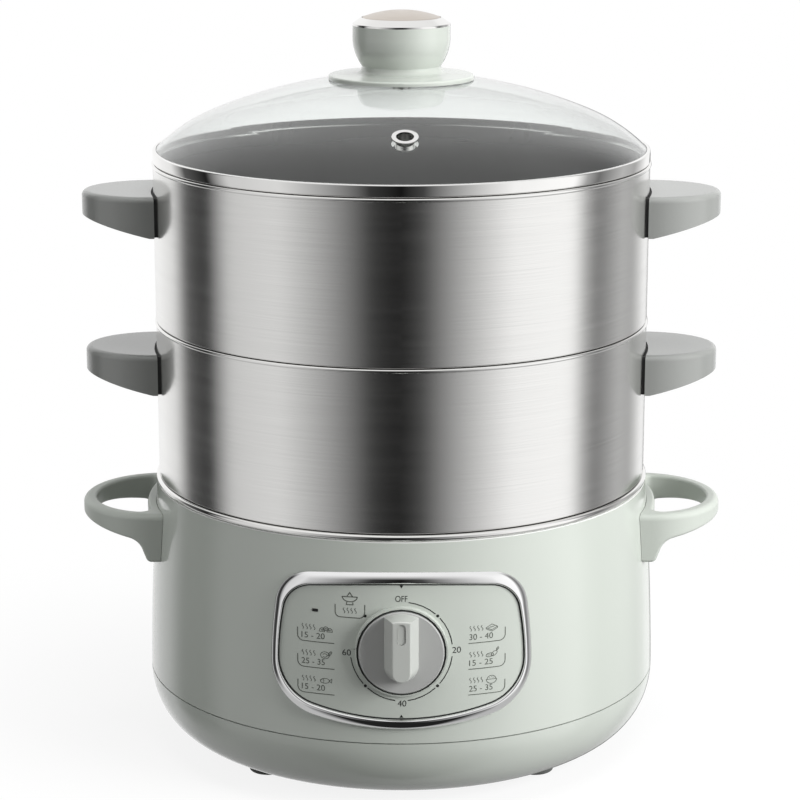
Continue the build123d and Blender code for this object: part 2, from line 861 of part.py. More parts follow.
def thermostat_clip():
    low = plate_low_z - thermostat_height - clip_thickness
    foot_low = plate_low_z - clip_thickness
    clip = block_on(Plane.XY, clip_half_span, clip_half_width, low, low + clip_thickness)
    for side in (-1, 1):
        leg_x = side * (clip_half_span - clip_thickness / 2)
        foot_x = side * (clip_half_span + clip_foot / 2 - clip_thickness / 2)
        clip += Pos(leg_x, 0, 0) * block_on(Plane.XY, clip_thickness / 2, clip_half_width, low, plate_low_z)
        clip += Pos(foot_x, 0, 0) * block_on(Plane.XY, clip_foot / 2, clip_half_width, foot_low, plate_low_z)
        clip -= upright(stud_radius + fit_gap, 0, shell_top_z, side * clip_stud_side)
    return clip


# Control panel

def panel_outline(side_inset, end_inset):
    """The panel seen from the front: arched top, bellied sides and a sagging lower edge."""
    top_half = panel_top_half_width - side_inset
    low_half = panel_bottom_half_width - side_inset
    top = dial_axis_z + panel_top_corner - end_inset
    low = dial_axis_z - panel_bottom_corner + end_inset
    middle_half = (top_half + low_half) / 2 + panel_belly
    middle = (top + low) / 2
    face = make_face(Wire([
        ThreePointArc((-top_half, top), (0, top + panel_top_arch), (top_half, top)),
        ThreePointArc((top_half, top), (middle_half, middle), (low_half, low)),
        ThreePointArc((low_half, low), (0, low - panel_bottom_sag), (-low_half, low)),
        ThreePointArc((-low_half, low), (-middle_half, middle), (-top_half, top)),
    ]))
    face = fillet(face.vertices().group_by(Axis.Y)[-1], panel_top_radius - side_inset)
    return fillet(face.vertices().group_by(Axis.Y)[0], panel_bottom_radius - side_inset)


panel_low_z = dial_axis_z - panel_bottom_corner - panel_bottom_sag - frame_end_width
panel_high_z = dial_axis_z + panel_top_corner + panel_top_arch + frame_end_width


def over_shell(outline, inner, outer):
    """An outline drawn from the front, wrapped over the shell between two offsets from its face."""
    depth = shell_seam_radius + frame_proud + frame_end_width
    return from_front(outline, depth / 2, depth) & shell_band(inner, outer, panel_low_z, panel_high_z)


def control_panel():
    outline = panel_outline(frame_side_width + fit_gap, frame_end_width + fit_gap)
    panel = over_shell(outline, panel_back_gap, panel_proud)
    collar = pin_on(dial_plane, dial_radius + dial_gap + collar_wall, boss_back, collar_front)
    collar -= pin_on(dial_plane, dial_radius + dial_gap, boss_back, collar_front)
    panel += collar - shell_core(panel_back_gap, panel_low_z, panel_high_z)
    panel += pin_on(dial_plane, boss_radius, boss_back, collar_front) & shell_core(
        panel_proud, panel_low_z, panel_high_z
    )
    peg_top = panel_proud / 2 + panel_back_gap
    for plane in panel_peg_planes:
        panel += pin_on(plane, panel_peg_radius, -shell_wall - panel_screw_gap, peg_top)
        panel -= pin_on(plane, panel_peg_bore, -2 * shell_wall, panel_proud / 2)
    panel -= pin_on(dial_plane, shaft_radius + boss_bore_gap, 0, collar_front)
    for plane in timer_hole_planes():
        panel -= pin_on(plane, timer_screw_radius + fit_gap, 0, collar_front)
        panel -= pin_on(plane, timer_screw_head_radius + fit_gap, timer_screw_seat, collar_front)
    panel -= block_on(
        lens_plane, lens_half_width + fit_gap, lens_half_height + fit_gap, -shell_wall, 2 * panel_proud
    )
    return panel


def panel_frame():
    outline = panel_outline(0, 0) - panel_outline(frame_side_width, frame_end_width)
    frame = over_shell(outline, panel_back_gap, frame_proud)
    front = frame.faces().sort_by(Axis.Y)[0]
    return fillet(front.edges(), frame_fillet)


def panel_screws():
    screws = []
    for plane in panel_peg_planes:
        seat = -shell_wall - panel_screw_gap
        head = pin_on(plane, panel_screw_head_radius, seat - panel_screw_head_height, seat)
        screws.append(head + pin_on(plane, panel_screw_radius, seat, seat + panel_screw_length))
    return group(*screws)


def indicator_lens():
    return block_on(lens_plane, lens_half_width, lens_half_height, 0, panel_proud + lens_proud)


def indicator_lamp():
    return pin_on(lens_plane, lamp_radius, -lamp_length, 0)


# Timer

def timer_hole_planes():
    return [
        dial_plane.shift_origin(dial_plane.from_local_coords((x, 0, 0)))
        for x in (-timer_screw_spacing / 2, timer_screw_spacing / 2)
    ]


def timer_plate():
    plate = block_on(dial_plane, timer_half_width, timer_half_width, timer_plate_back, boss_back)
    plate -= pin_on(dial_plane, shaft_radius + shaft_bearing_gap, 0, boss_back)
    for plane in timer_hole_planes():
        plate -= pin_on(plane, timer_screw_radius + fit_gap, 0, boss_back)
    return plate


blade_places = [
    cam_radius + blade_cam_gap + blade_thickness / 2,
    cam_radius + blade_cam_gap + blade_thickness / 2 + blade_spacing,
]
blade_middle = cam_back + cam_thickness / 2
blade_low_z = timer_low_z - blade_tab


def blade(x, margin):
    high = timer_low_z + blade_height
    return Pos(x, -blade_middle, blade_low_z - margin) * Box(
        blade_thickness + 2 * margin, blade_width + 2 * margin, high - blade_low_z + 2 * margin,
        align=(Align.CENTER, Align.CENTER, Align.MIN),
    )


def timer_case():
    case = block_on(dial_plane, timer_half_width, timer_half_width, timer_back, timer_plate_back)
    inner = timer_half_width - timer_case_wall
    case -= block_on(dial_plane, inner, inner, timer_back + timer_case_wall, timer_plate_back)
    case -= pin_on(dial_plane, shaft_radius + shaft_bearing_gap, 0, timer_plate_back)
    for x in blade_places:
        case -= blade(x, fit_gap)
    return case


def timer_contacts():
    return group(*[blade(x, 0) for x in blade_places])


def timer_bell():
    top = timer_low_z - bell_post_length
    middle = -(timer_back + timer_plate_back) / 2
    bell = upright(bell_radius, top - bell_height, top, -bell_side, middle)
    bell -= upright(bell_radius - bell_wall, top - bell_height, top - bell_wall, -bell_side, middle)
    return bell + upright(bell_post_radius, top - bell_wall, timer_low_z, -bell_side, middle)


def timer_screws():
    screws = []
    for plane in timer_hole_planes():
        seat = timer_screw_seat
        head = pin_on(plane, timer_screw_head_radius, seat, seat + timer_screw_head_height)
        screws.append(head + pin_on(plane, timer_screw_radius, seat - timer_screw_length, seat))
    return group(*screws)


def shaft_rod(radius, start, end):
    """A round rod on the dial's axis whose front end carries a flat."""
    rod = pin_on(dial_plane, radius, start, end)
    flat = radius - shaft_flat_depth
    cut = dial_plane * Pos(0, flat, dial_back) * Box(
        4 * shaft_radius, 2 * shaft_flat_depth, 2 * shaft_engagement,
        align=(Align.CENTER, Align.MIN, Align.MIN),
    )
    return rod - cut


def timer_shaft():
    return shaft_rod(shaft_radius, timer_back + fit_gap, shaft_front)


def timer_cam():
    cam = pin_on(dial_plane, cam_radius, cam_back, cam_back + cam_thickness)
    notch = dial_plane.shift_origin(dial_plane.from_local_coords((0, cam_radius, 0)))
    cam -= pin_on(notch, cam_notch_radius, cam_back, cam_back + cam_thickness)
    return cam - pin_on(dial_plane, shaft_radius + fit_gap, 0, collar_front)


def timer_mainspring():
    """A flat spiral of half circles about two centres, half a pitch apart."""
    arcs = []
    for half_turn in range(2 * spring_turns):
        radius = spring_inner_radius + half_turn * spring_pitch / 2
        centre = (spring_pitch / 2 * (half_turn % 2), 0)
        arcs.append(CenterArc(centre, radius, 180 * (half_turn % 2), 180))
    strip = Wire(arcs).offset_2d(spring_strip, kind=Kind.ARC, side=Side.RIGHT)
    start = timer_back + timer_case_wall + spring_back_gap
    return extrude(dial_plane.offset(start) * make_face(strip), spring_width)


def dial_disc():
    disc = pin_on(dial_plane, dial_radius, dial_back, dial_front)
    disc = fillet(disc.edges().sort_by(Axis.Y)[0], dial_fillet)
    return disc - pin_on(dial_plane, hub_radius + fit_gap, dial_back, dial_front)


def dial_grip():
    straight = knob_bar_foot - knob_bar_half_width
    past = dial_radius + knob_bar_height
    outline = Pos(0, (past - straight) / 2) * Rectangle(2 * knob_bar_half_width, past + straight)
    outline += Pos(0, -straight) * Circle(knob_bar_half_width)
    bar = extrude(dial_plane.offset(dial_front) * outline, knob_bar_height, taper=knob_bar_taper)
    bar &= pin_on(dial_plane, dial_radius - knob_bar_rim_inset, dial_front, bar_front)
    top = bar.faces().sort_by(Axis.Y)[0]
    bar = fillet(top.edges(), knob_bar_fillet)
    bar += pin_on(dial_plane, hub_radius, dial_back, dial_front)
    bar -= shaft_rod(shaft_radius + fit_gap, dial_back, shaft_front + fit_gap)
    return bar - pointer_bar(fit_gap, bar_front + knob_bar_fillet)


def pointer_bar(margin, front):
    """The pointer's rounded bar, or the slot for it, up to a distance in front of the axis."""
    middle = dial_radius - pointer_top_drop - pointer_length / 2
    outline = Pos(0, middle) * Rot(0, 0, 90) * SlotOverall(
        pointer_length + 2 * margin, 2 * (pointer_half_width + margin)
    )
    start = bar_front - pointer_depth
    return extrude(dial_plane.offset(start) * outline, front - start)


def dial_pointer():
    return pointer_bar(0, bar_front - pointer_sink)


# Power inlet

def inlet_pin_box(x, z, margin):
    """One contact blade, from the tail inside the base to its tip in the socket."""
    floor = inlet_flange_thickness - inlet_cavity_depth
    return inlet_plane * Pos(x, z, 0) * block_on(
        Plane.XY, inlet_pin_half_thickness + margin, inlet_pin_half_height + margin,
        -inlet_body_depth - inlet_tail_length, floor + inlet_pin_length,
    )


inlet_pin_places = {
    "live": (-inlet_pin_side, -inlet_pin_offset),
    "earth": (0.0, inlet_pin_offset),
    "neutral": (inlet_pin_side, -inlet_pin_offset),
}


def power_inlet():
    flange = extrude(
        inlet_plane * RectangleRounded(
            2 * inlet_flange_half_width, 2 * inlet_flange_half_height, inlet_flange_corner
        ),
        inlet_flange_thickness,
    )
    inlet = flange + block_on(
        inlet_plane, inlet_body_half_width, inlet_body_half_height, -inlet_body_depth, 0
    )
    inlet -= block_on(
        inlet_plane, inlet_cavity_half_width, inlet_cavity_half_height,
        inlet_flange_thickness - inlet_cavity_depth, 2 * inlet_flange_thickness,
    )
    for x, z in inlet_pin_places.values():
        inlet -= inlet_pin_box(x, z, fit_gap)
    for x in (-inlet_screw_side, inlet_screw_side):
        inlet -= inlet_plane * Pos(x, 0, 0) * Cylinder(inlet_screw_radius + fit_gap, inlet_body_depth)
    return inlet


def power_inlet_pins():
    return group(*[inlet_pin_box(x, z, 0) for x, z in inlet_pin_places.values()])


def power_inlet_screws():
    screws = []
    for x in (-inlet_screw_side, inlet_screw_side):
        seat = inlet_flange_thickness
        plane = inlet_plane.shift_origin(inlet_plane.from_local_coords((x, 0, 0)))
        head = pin_on(plane, inlet_screw_head_radius, seat, seat + inlet_screw_head_height)
        screws.append(head + pin_on(plane, inlet_screw_radius, seat - inlet_screw_length, seat))
    return group(*screws)


# Leads, each from metal to metal

inlet_tail_y = inlet_face_y - inlet_body_depth - inlet_tail_length


def from_inlet(pin):
    """The first points of a lead: off the inlet's tail, then down to the floor of the base."""
    x, z = inlet_pin_places[pin]
    turn_y = inlet_tail_y - lead_inlet_run
    return [(-x, inlet_tail_y, inlet_z + z), (-x, turn_y, inlet_z + z), (-x, turn_y, lead_floor_z)]


def live_lead():
    x = blade_places[0]
    points = from_inlet("live") + [(x, -blade_middle, lead_floor_z), (x, -blade_middle, blade_low_z)]
    return tube_along(points, [lead_inlet_bend, lead_bend, lead_bend], lead_radius)


def neutral_lead():
    pin = element_pins[1]
    points = from_inlet("neutral") + [(pin.X, pin.Y, lead_floor_z), (pin.X, pin.Y, element_pin_low_z)]
    return tube_along(points, [lead_inlet_bend, lead_bend, lead_bend], lead_radius)


def earth_lead():
    x, y = around(stud_angles[1], stud_circle)
    points = from_inlet("earth") + [(x, y, lead_floor_z), (x, y, shield_low_z - stud_tail)]
    return tube_along(points, [lead_inlet_bend, lead_bend, lead_bend], lead_radius)


heater_start = Vector(blade_places[1], -blade_middle, lead_floor_z)
heater_end = Vector(element_pins[0].X, element_pins[0].Y, lead_floor_z)
heater_run = (heater_end - heater_start).normalized()
fuse_middle = heater_start + heater_run * fuse_run


def heater_leads():
    """Timer to fuse, and fuse to heating element."""
    before = fuse_middle - heater_run * (fuse_length / 2)
    after = fuse_middle + heater_run * (fuse_length / 2)
    top_front = (heater_start.X, heater_start.Y, blade_low_z)
    top_back = (heater_end.X, heater_end.Y, element_pin_low_z)
    return group(
        tube_along([top_front, heater_start, before], [lead_bend], lead_radius),
        tube_along([after, heater_end, top_back], [lead_bend], lead_radius),
    )


def thermal_fuse():
    plane = Plane(origin=fuse_middle, z_dir=heater_run)
    return pin_on(plane, fuse_radius, -fuse_length / 2, fuse_length / 2)


# Tiers

def tier_shell(tier):
    low, rim = tier_low_z[tier], tier_rim_z[tier]
    floor = low - nest_depth
    outline = sheet_outline(
        [
            (0, floor),
            (nest_radius, floor),
            (nest_radius, low),
            (tier_radius, low),
            (tier_radius, rim - tier_bead_radius),
        ],
        [tier_floor_fillet, 0, tier_wall],
        tier_wall,
        Side.LEFT,
    )
    bead = Pos(tier_bead_ring, rim - tier_bead_radius) * Circle(tier_bead_radius)
    shell = revolve(Plane.XZ * (outline + bead), Axis.Z)
    holes = [upright(steam_hole_radius, floor - tier_wall, floor + 2 * tier_wall)]
    for ring in range(1, steam_ring_count + 1):
        for index in range(6 * ring):
            place = around(360 * index / (6 * ring), ring * steam_ring_pitch)
            holes.append(upright(steam_hole_radius, floor - tier_wall, floor + 2 * tier_wall, *place))
    shell -= holes
    for side in (-1, 1):
        for plane in grip_bolt_planes(tier, side):
            shell -= pin_on(plane, grip_bolt_radius + fit_gap, 0, grip_bolt_length)
    return shell


def grip_bolt_planes(tier, side):
    """Where the handle bolts' heads bear on the inside of the tier's wall."""
    z = tier_rim_z[tier] - grip_top_drop - grip_root_height / 2
    y = grip_bolt_spacing / 2
    wall = tier_radius - tier_wall
    x = math.sqrt(wall ** 2 - (y + grip_bolt_head_radius) ** 2) - fit_gap / 2
    return [
        Plane(origin=(side * x, place, z), x_dir=(0, side, 0), z_dir=(side, 0, 0)) for place in (-y, y)
    ]


def tier_handle(tier, side):
    top = tier_rim_z[tier] - grip_top_drop
    low = top - grip_root_height
    start = tier_radius - grip_half_width
    past = tier_radius + 2 * grip_reach
    slope = math.tan(math.radians(grip_underside_slope))
    plan = Pos((start + tier_radius) / 2, 0) * Rectangle(tier_radius - start, 2 * grip_half_width)
    plan += Pos(tier_radius, 0) * Ellipse(grip_reach, grip_half_width)
    profile = Polyline(
        (start, top),
        (start, low),
        (tier_radius, low),
        (past, low + 2 * grip_reach * slope),
        (past, top),
        close=True,
    )
    handle = Pos(0, 0, low - 1) * extrude(plan, grip_root_height + 1)
    handle &= extrude(Plane.XZ * make_face(profile), 2 * grip_half_width, both=True)
    handle -= upright(tier_radius + gasket_thickness, 0, lid_top_z)
    top_edges = handle.faces().sort_by(Axis.Z)[-1].edges()
    outer_edges = [edge for edge in top_edges if edge.center().X > tier_radius + 2 * gasket_thickness]
    handle = fillet(outer_edges, grip_top_fillet)
    for plane in grip_bolt_planes(tier, 1):
        handle -= pin_on(plane, grip_bolt_radius + fit_gap, 0, grip_bolt_length + fit_gap)
    return handle if side > 0 else mirror(handle, Plane.YZ)


def tier_handle_gaskets(tier):
    top = tier_rim_z[tier] - grip_top_drop - gasket_inset
    low = top - grip_root_height + 2 * gasket_inset
    ring = upright(tier_radius + gasket_thickness - film_gap, low, top)
    ring -= upright(tier_radius + film_gap, low - 1, top + 1)
    half = grip_half_width - gasket_inset
    pads = []
    for side in (-1, 1):
        plane = Plane(origin=(0, 0, (top + low) / 2), x_dir=(0, side, 0), z_dir=(side, 0, 0))
        pad = ring & block_on(plane, half, grip_root_height, tier_radius / 2, 2 * tier_radius)
        for bolt in grip_bolt_planes(tier, side):
            pad -= pin_on(bolt, grip_bolt_radius + fit_gap, 0, grip_bolt_length)
        pads.append(pad)
    return group(*pads)


def tier_handle_bolts(tier):
    bolts = []
    for side in (-1, 1):
        for plane in grip_bolt_planes(tier, side):
            head = pin_on(plane, grip_bolt_head_radius, -grip_bolt_head_height, 0)
            bolts.append(head + pin_on(plane, grip_bolt_radius, 0, grip_bolt_length))
    return group(*bolts)


# Lid: the glass is a crown arc with a tighter shoulder arc, and stands in the steel band

shoulder_turn = math.asin(glass_shoulder_start / glass_crown_radius)
shoulder_r = (glass_crown_radius - glass_shoulder_radius) * math.sin(shoulder_turn)
shoulder_end_turn = math.asin((glass_edge_radius - shoulder_r) / glass_shoulder_radius)
shoulder_z = lid_top_z - glass_shoulder_radius * math.cos(shoulder_end_turn)
crown_z = shoulder_z - (glass_crown_radius - glass_shoulder_radius) * math.cos(shoulder_turn)


def crown_height(r, offset=0.0):
    """Height of the glass's crown at a radius, or of a surface at a distance above it."""
    return crown_z + math.sqrt((glass_crown_radius + offset) ** 2 - r ** 2)


def glass_curve(inset):
    """The glass's outer face from the axis to its edge, or a face parallel to it."""
    crown, shoulder = glass_crown_radius - inset, glass_shoulder_radius - inset
    edge = glass_edge_radius - inset
    meet = (crown * math.sin(shoulder_turn), crown_z + crown * math.cos(shoulder_turn))
    middle = (crown * math.sin(shoulder_turn / 2), crown_z + crown * math.cos(shoulder_turn / 2))
    end_turn = math.asin((edge - shoulder_r) / shoulder)
    turn = (shoulder_turn + end_turn) / 2
    end = (edge, shoulder_z + shoulder * math.cos(end_turn))
    bend = (shoulder_r + shoulder * math.sin(turn), shoulder_z + shoulder * math.cos(turn))
    return [ThreePointArc((0, crown_z + crown), middle, meet), ThreePointArc(meet, bend, end)]


def lid_glass():
    foot = lid_low_z + lid_band_wall + fit_gap
    outer, inner = glass_curve(0), glass_curve(glass_thickness)
    outer_end, inner_end = outer[1] @ 1, inner[1] @ 1
    glass = turned(
        *outer,
        Line(outer_end, (outer_end.X, foot)),
        Line((outer_end.X, foot), (inner_end.X, foot)),
        Line((inner_end.X, foot), inner_end),
        *inner,
        Line(inner[0] @ 0, outer[0] @ 0),
    )
    glass -= upright(glass_hole_radius, lid_low_z, 2 * lid_top_z)
    return glass - pin_on(vent_plane, vent_hole_radius, -2 * glass_thickness, glass_thickness)


vent_slant = math.asin(vent_distance / glass_crown_radius)
vent_point = (*around(vent_turn, vent_distance), crown_height(vent_distance))
vent_normal = (*around(vent_turn, math.sin(vent_slant)), math.cos(vent_slant))
vent_plane = Plane(origin=vent_point, z_dir=vent_normal)


def steam_vent_grommet():
    tube = vent_hole_radius - fit_gap
    low = -glass_thickness - fit_gap
    grommet = pin_on(vent_plane, tube, low, fit_gap)
    grommet += pin_on(vent_plane, vent_flange_radius, fit_gap, fit_gap + vent_flange_thickness)
    grommet += pin_on(vent_plane, vent_flange_radius, low - vent_flange_thickness, low)
    return grommet - pin_on(vent_plane, tube - vent_tube_wall, -2 * glass_thickness, glass_thickness)


def lid_rim_band():
    return turned_sheet(
        [
            (lid_nest_radius, lid_low_z - lid_nest_depth),
            (lid_nest_radius, lid_low_z),
            (tier_radius, lid_low_z),
            (tier_radius, lid_top_z),
            (glass_edge_radius + fit_gap, lid_top_z),
        ],
        [0, lid_band_wall, lid_band_wall],
        lid_band_wall,
        Side.LEFT,
    )


# Lid knob

skirt_low_z = crown_height(skirt_radius, knob_gasket_thickness)
skirt_edge_z = skirt_low_z + skirt_edge
skirt_top_z = skirt_edge_z + skirt_rise + knob_neck_height
knob_top_z = skirt_top_z + knob_height
ring_top_z = knob_top_z + ring_height
knob_washer_top_z = crown_height(knob_washer_radius, -glass_thickness) - film_gap


def crown_layer(low_offset, high_offset, inner, outer):
    """A turned layer that follows the glass's crown."""
    middle = (inner + outer) / 2
    return turned(
        Line((inner, crown_height(inner, low_offset)), (inner, crown_height(inner, high_offset))),
        ThreePointArc(
            (inner, crown_height(inner, high_offset)),
            (middle, crown_height(middle, high_offset)),
            (outer, crown_height(outer, high_offset)),
        ),
        Line((outer, crown_height(outer, high_offset)), (outer, crown_height(outer, low_offset))),
        ThreePointArc(
            (outer, crown_height(outer, low_offset)),
            (middle, crown_height(middle, low_offset)),
            (inner, crown_height(inner, low_offset)),
        ),
    )


def lid_knob_gasket():
    bore = knob_screw_radius + fit_gap
    return crown_layer(film_gap, knob_gasket_thickness - film_gap, bore, skirt_radius - knob_gasket_inset)


def lid_knob_skirt():
    """The cover over the glass, swept up into the knob's neck."""
    bore = knob_screw_radius + fit_gap
    middle = (bore + skirt_radius) / 2
    upper = FilletPolyline(
        (skirt_radius, skirt_low_z),
        (skirt_radius, skirt_edge_z),
        (knob_neck_radius, skirt_edge_z + skirt_rise),
        (knob_neck_radius, skirt_top_z),
        (bore, skirt_top_z),
        radius=[skirt_edge_fillet, knob_neck_sweep, 0],
    )
    return turned(
        ThreePointArc(
            (bore, crown_height(bore, knob_gasket_thickness)),
            (middle, crown_height(middle, knob_gasket_thickness)),
            (skirt_radius, skirt_low_z),
        ),
        *upper.edges(),
        Line((bore, skirt_top_z), (bore, crown_height(bore, knob_gasket_thickness))),
    )


def lid_knob_body():
    inner = knob_radius - knob_wall
    side_z = skirt_top_z + knob_side_height
    body = turned(
        Line((0, skirt_top_z), (knob_neck_radius, skirt_top_z)),
        ThreePointArc(
            (knob_neck_radius, skirt_top_z),
            (knob_belly_radius, skirt_top_z + knob_belly_height),
            (knob_radius, side_z),
        ),
        Line((knob_radius, side_z), (knob_radius, knob_top_z)),
        Line((knob_radius, knob_top_z), (0, knob_top_z)),
        Line((0, knob_top_z), (0, skirt_top_z)),
    )
    floor_z = skirt_top_z + knob_wall
    hollow = turned_polygon(
        (knob_post_radius, floor_z),
        (knob_neck_radius - knob_wall, floor_z),
        (inner, side_z),
        (inner, knob_top_z),
        (0, knob_top_z),
        (0, skirt_top_z + knob_screw_bite + knob_wall),
        (knob_post_radius, skirt_top_z + knob_screw_bite + knob_wall),
    )
    body -= hollow
    return body - upright(knob_screw_radius + fit_gap, skirt_top_z, skirt_top_z + knob_screw_bite + fit_gap)


def lid_knob_ring():
    """A bright ring, bevelled from the knob's side up to the cap."""
    inner = cap_radius + fit_gap
    bevel_z = knob_top_z + ring_side_height
    ledge_z = ring_top_z - cap_edge_height
    ring = turned_polygon(
        (inner - ring_ledge, knob_top_z),
        (knob_radius, knob_top_z),
        (knob_radius, bevel_z),
        (inner + ring_land, ring_top_z),
        (inner, ring_top_z),
        (inner, ledge_z),
        (inner - ring_ledge, ledge_z),
    )
    return fillet(rims_near(ring, knob_radius, bevel_z), ring_fillet)


def lid_knob_cap():
    low = ring_top_z - cap_edge_height
    sphere = (cap_radius ** 2 + cap_rise ** 2) / (2 * cap_rise)
    half = cap_radius / 2
    half_z = ring_top_z + cap_rise - sphere + math.sqrt(sphere ** 2 - half ** 2)
    cap = turned(
        Line((0, low), (cap_radius, low)),
        Line((cap_radius, low), (cap_radius, ring_top_z)),
        ThreePointArc((cap_radius, ring_top_z), (half, half_z), (0, ring_top_z + cap_rise)),
        Line((0, ring_top_z + cap_rise), (0, low)),
    )
    return fillet(rims_near(cap, cap_radius, ring_top_z), cap_fillet)


def lid_knob_washer():
    washer = upright(knob_washer_radius, knob_washer_top_z - knob_washer_thickness, knob_washer_top_z)
    return washer - upright(knob_screw_radius + fit_gap, 0, 2 * lid_top_z)


def lid_knob_screw():
    seat = knob_washer_top_z - knob_washer_thickness
    head = upright(knob_screw_head_radius, seat - knob_screw_head_height, seat)
    return head + upright(knob_screw_radius, seat, skirt_top_z + knob_screw_bite)


# Every sub-part, by the name of its node

parts = {
    "base_shell": base_shell(),
    "bottom_cover": bottom_cover(),
    "bottom_cover_screws": bottom_cover_screws(),
    "rubber_feet": rubber_feet(),
    "base_handle_left": loop_handle(-1),
    "base_handle_right": loop_handle(1),
    "base_handle_screws": base_handle_screws(),
    "inner_pot": inner_pot(),
    "inner_pot_floor": inner_pot_floor(),
    "pot_seal_ring": pot_seal_ring(),
    "heating_plate": heating_plate(),
    "heating_element": heating_element(),
    "heat_shield": heat_shield(),
    "heater_nuts": heater_nuts(),
    "thermostat": thermostat(),
    "thermostat_clip": thermostat_clip(),
    "thermal_fuse": thermal_fuse(),
    "control_panel": control_panel(),
    "panel_frame": panel_frame(),
    "panel_screws": panel_screws(),
    "indicator_lens": indicator_lens(),
    "indicator_lamp": indicator_lamp(),
    "timer_plate": timer_plate(),
    "timer_case": timer_case(),
    "timer_contacts": timer_contacts(),
    "timer_bell": timer_bell(),
    "timer_screws": timer_screws(),
    "timer_shaft": timer_shaft(),
    "timer_cam": timer_cam(),
    "timer_mainspring": timer_mainspring(),
    "dial_disc": dial_disc(),
    "dial_grip": dial_grip(),
    "dial_pointer": dial_pointer(),
    "power_inlet": power_inlet(),
    "power_inlet_pins": power_inlet_pins(),
    "power_inlet_screws": power_inlet_screws(),
    "live_lead": live_lead(),
    "neutral_lead": neutral_lead(),
    "earth_lead": earth_lead(),
    "heater_leads": heater_leads(),
    "lid_glass": lid_glass(),
    "lid_rim_band": lid_rim_band(),
    "steam_vent_grommet": steam_vent_grommet(),
    "lid_knob_gasket": lid_knob_gasket(),
    "lid_knob_skirt": lid_knob_skirt(),
    "lid_knob_body": lid_knob_body(),
    "lid_knob_ring": lid_knob_ring(),
    "lid_knob_cap": lid_knob_cap(),
    "lid_knob_washer": lid_knob_washer(),
    "lid_knob_screw": lid_knob_screw(),
}
for tier in ("lower", "upper"):
    parts[f"{tier}_tier_shell"] = tier_shell(tier)
    parts[f"{tier}_tier_handle_left"] = tier_handle(tier, -1)
    parts[f"{tier}_tier_handle_right"] = tier_handle(tier, 1)
    parts[f"{tier}_tier_handle_gaskets"] = tier_handle_gaskets(tier)
    parts[f"{tier}_tier_handle_bolts"] = tier_handle_bolts(tier)

os.makedirs("parts", exist_ok=True)
for name, shape in parts.items():
    export_step(shape, f"parts/{name}.step")
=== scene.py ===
import math

import bmesh
import bpy
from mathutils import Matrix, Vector


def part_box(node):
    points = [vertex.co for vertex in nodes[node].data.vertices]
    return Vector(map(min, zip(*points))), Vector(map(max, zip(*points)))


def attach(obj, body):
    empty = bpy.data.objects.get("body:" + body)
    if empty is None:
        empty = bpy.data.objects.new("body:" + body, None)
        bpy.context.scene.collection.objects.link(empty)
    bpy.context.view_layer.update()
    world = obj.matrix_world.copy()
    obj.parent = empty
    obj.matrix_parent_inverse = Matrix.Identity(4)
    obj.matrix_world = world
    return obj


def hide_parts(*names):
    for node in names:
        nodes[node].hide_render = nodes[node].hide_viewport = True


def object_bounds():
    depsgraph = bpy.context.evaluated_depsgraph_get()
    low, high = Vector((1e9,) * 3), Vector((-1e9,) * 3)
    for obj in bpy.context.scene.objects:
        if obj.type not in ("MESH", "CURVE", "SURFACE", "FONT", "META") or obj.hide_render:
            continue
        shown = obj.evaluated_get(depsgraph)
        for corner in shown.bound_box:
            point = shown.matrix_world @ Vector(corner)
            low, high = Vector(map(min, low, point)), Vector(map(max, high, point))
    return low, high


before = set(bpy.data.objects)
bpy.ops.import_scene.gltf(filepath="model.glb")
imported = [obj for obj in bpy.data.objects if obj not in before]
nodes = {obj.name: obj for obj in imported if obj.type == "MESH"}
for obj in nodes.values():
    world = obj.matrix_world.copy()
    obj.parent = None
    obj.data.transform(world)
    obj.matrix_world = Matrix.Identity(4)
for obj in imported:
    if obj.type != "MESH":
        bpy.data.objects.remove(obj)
scene = bpy.context.scene
cad_low, cad_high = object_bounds()
mm = 0.001


# The camera stands 1.32 m in front of the pot's axis and half a metre above the table, and looks
# down. It uses a long lens, so the rims of the round vessels show as flat ellipses.
camera_distance = 1.3213
camera_height = 0.5103
camera_side = -0.0007
camera_pitch = 13.92  # degrees below the horizon
camera_lens = 114.1
sensor_width = 36

camera = bpy.data.objects.new("camera", bpy.data.cameras.new("camera"))
camera.location = (camera_side, -camera_distance, camera_height)
camera.rotation_euler = (math.radians(90 - camera_pitch), 0, 0)
camera.data.lens = camera_lens
camera.data.sensor_width = sensor_width
scene.collection.objects.link(camera)
scene.camera = camera
scene.view_settings.view_transform = "Standard"


# The studio: a white room whose near side is dark, on the wall and on the floor, with a soft box to
# the left and to the right and a dark gap behind each box. Metal, gloss and glass reflect it.

def put(tree, kind, inputs=None, **settings):
    """Adds a node to a tree, with its settings and its inputs, which are values or other outputs."""
    node = tree.nodes.new(kind)
    for name, value in settings.items():
        setattr(node, name, value)
    for name, value in (inputs or {}).items():
        if isinstance(value, bpy.types.NodeSocket):
            tree.links.new(value, node.inputs[name])
        else:
            node.inputs[name].default_value = value
    return node


def math_of(tree, operation, *values):
    """The result of a Math node on one or more values."""
    return put(tree, "ShaderNodeMath", dict(enumerate(values)), operation=operation).outputs[0]


def ramp_of(tree, value, stops):
    """A colour ramp of (position, grey or colour) stops."""
    node = put(tree, "ShaderNodeValToRGB", {0: value})
    elements = node.color_ramp.elements
    while len(elements) < len(stops):
        elements.new(1.0)
    for element, (position, colour) in zip(elements, stops):
        element.position = position
        element.color = (*colour, 1) if hasattr(colour, "__len__") else (colour, colour, colour, 1)
    return node.outputs[0]


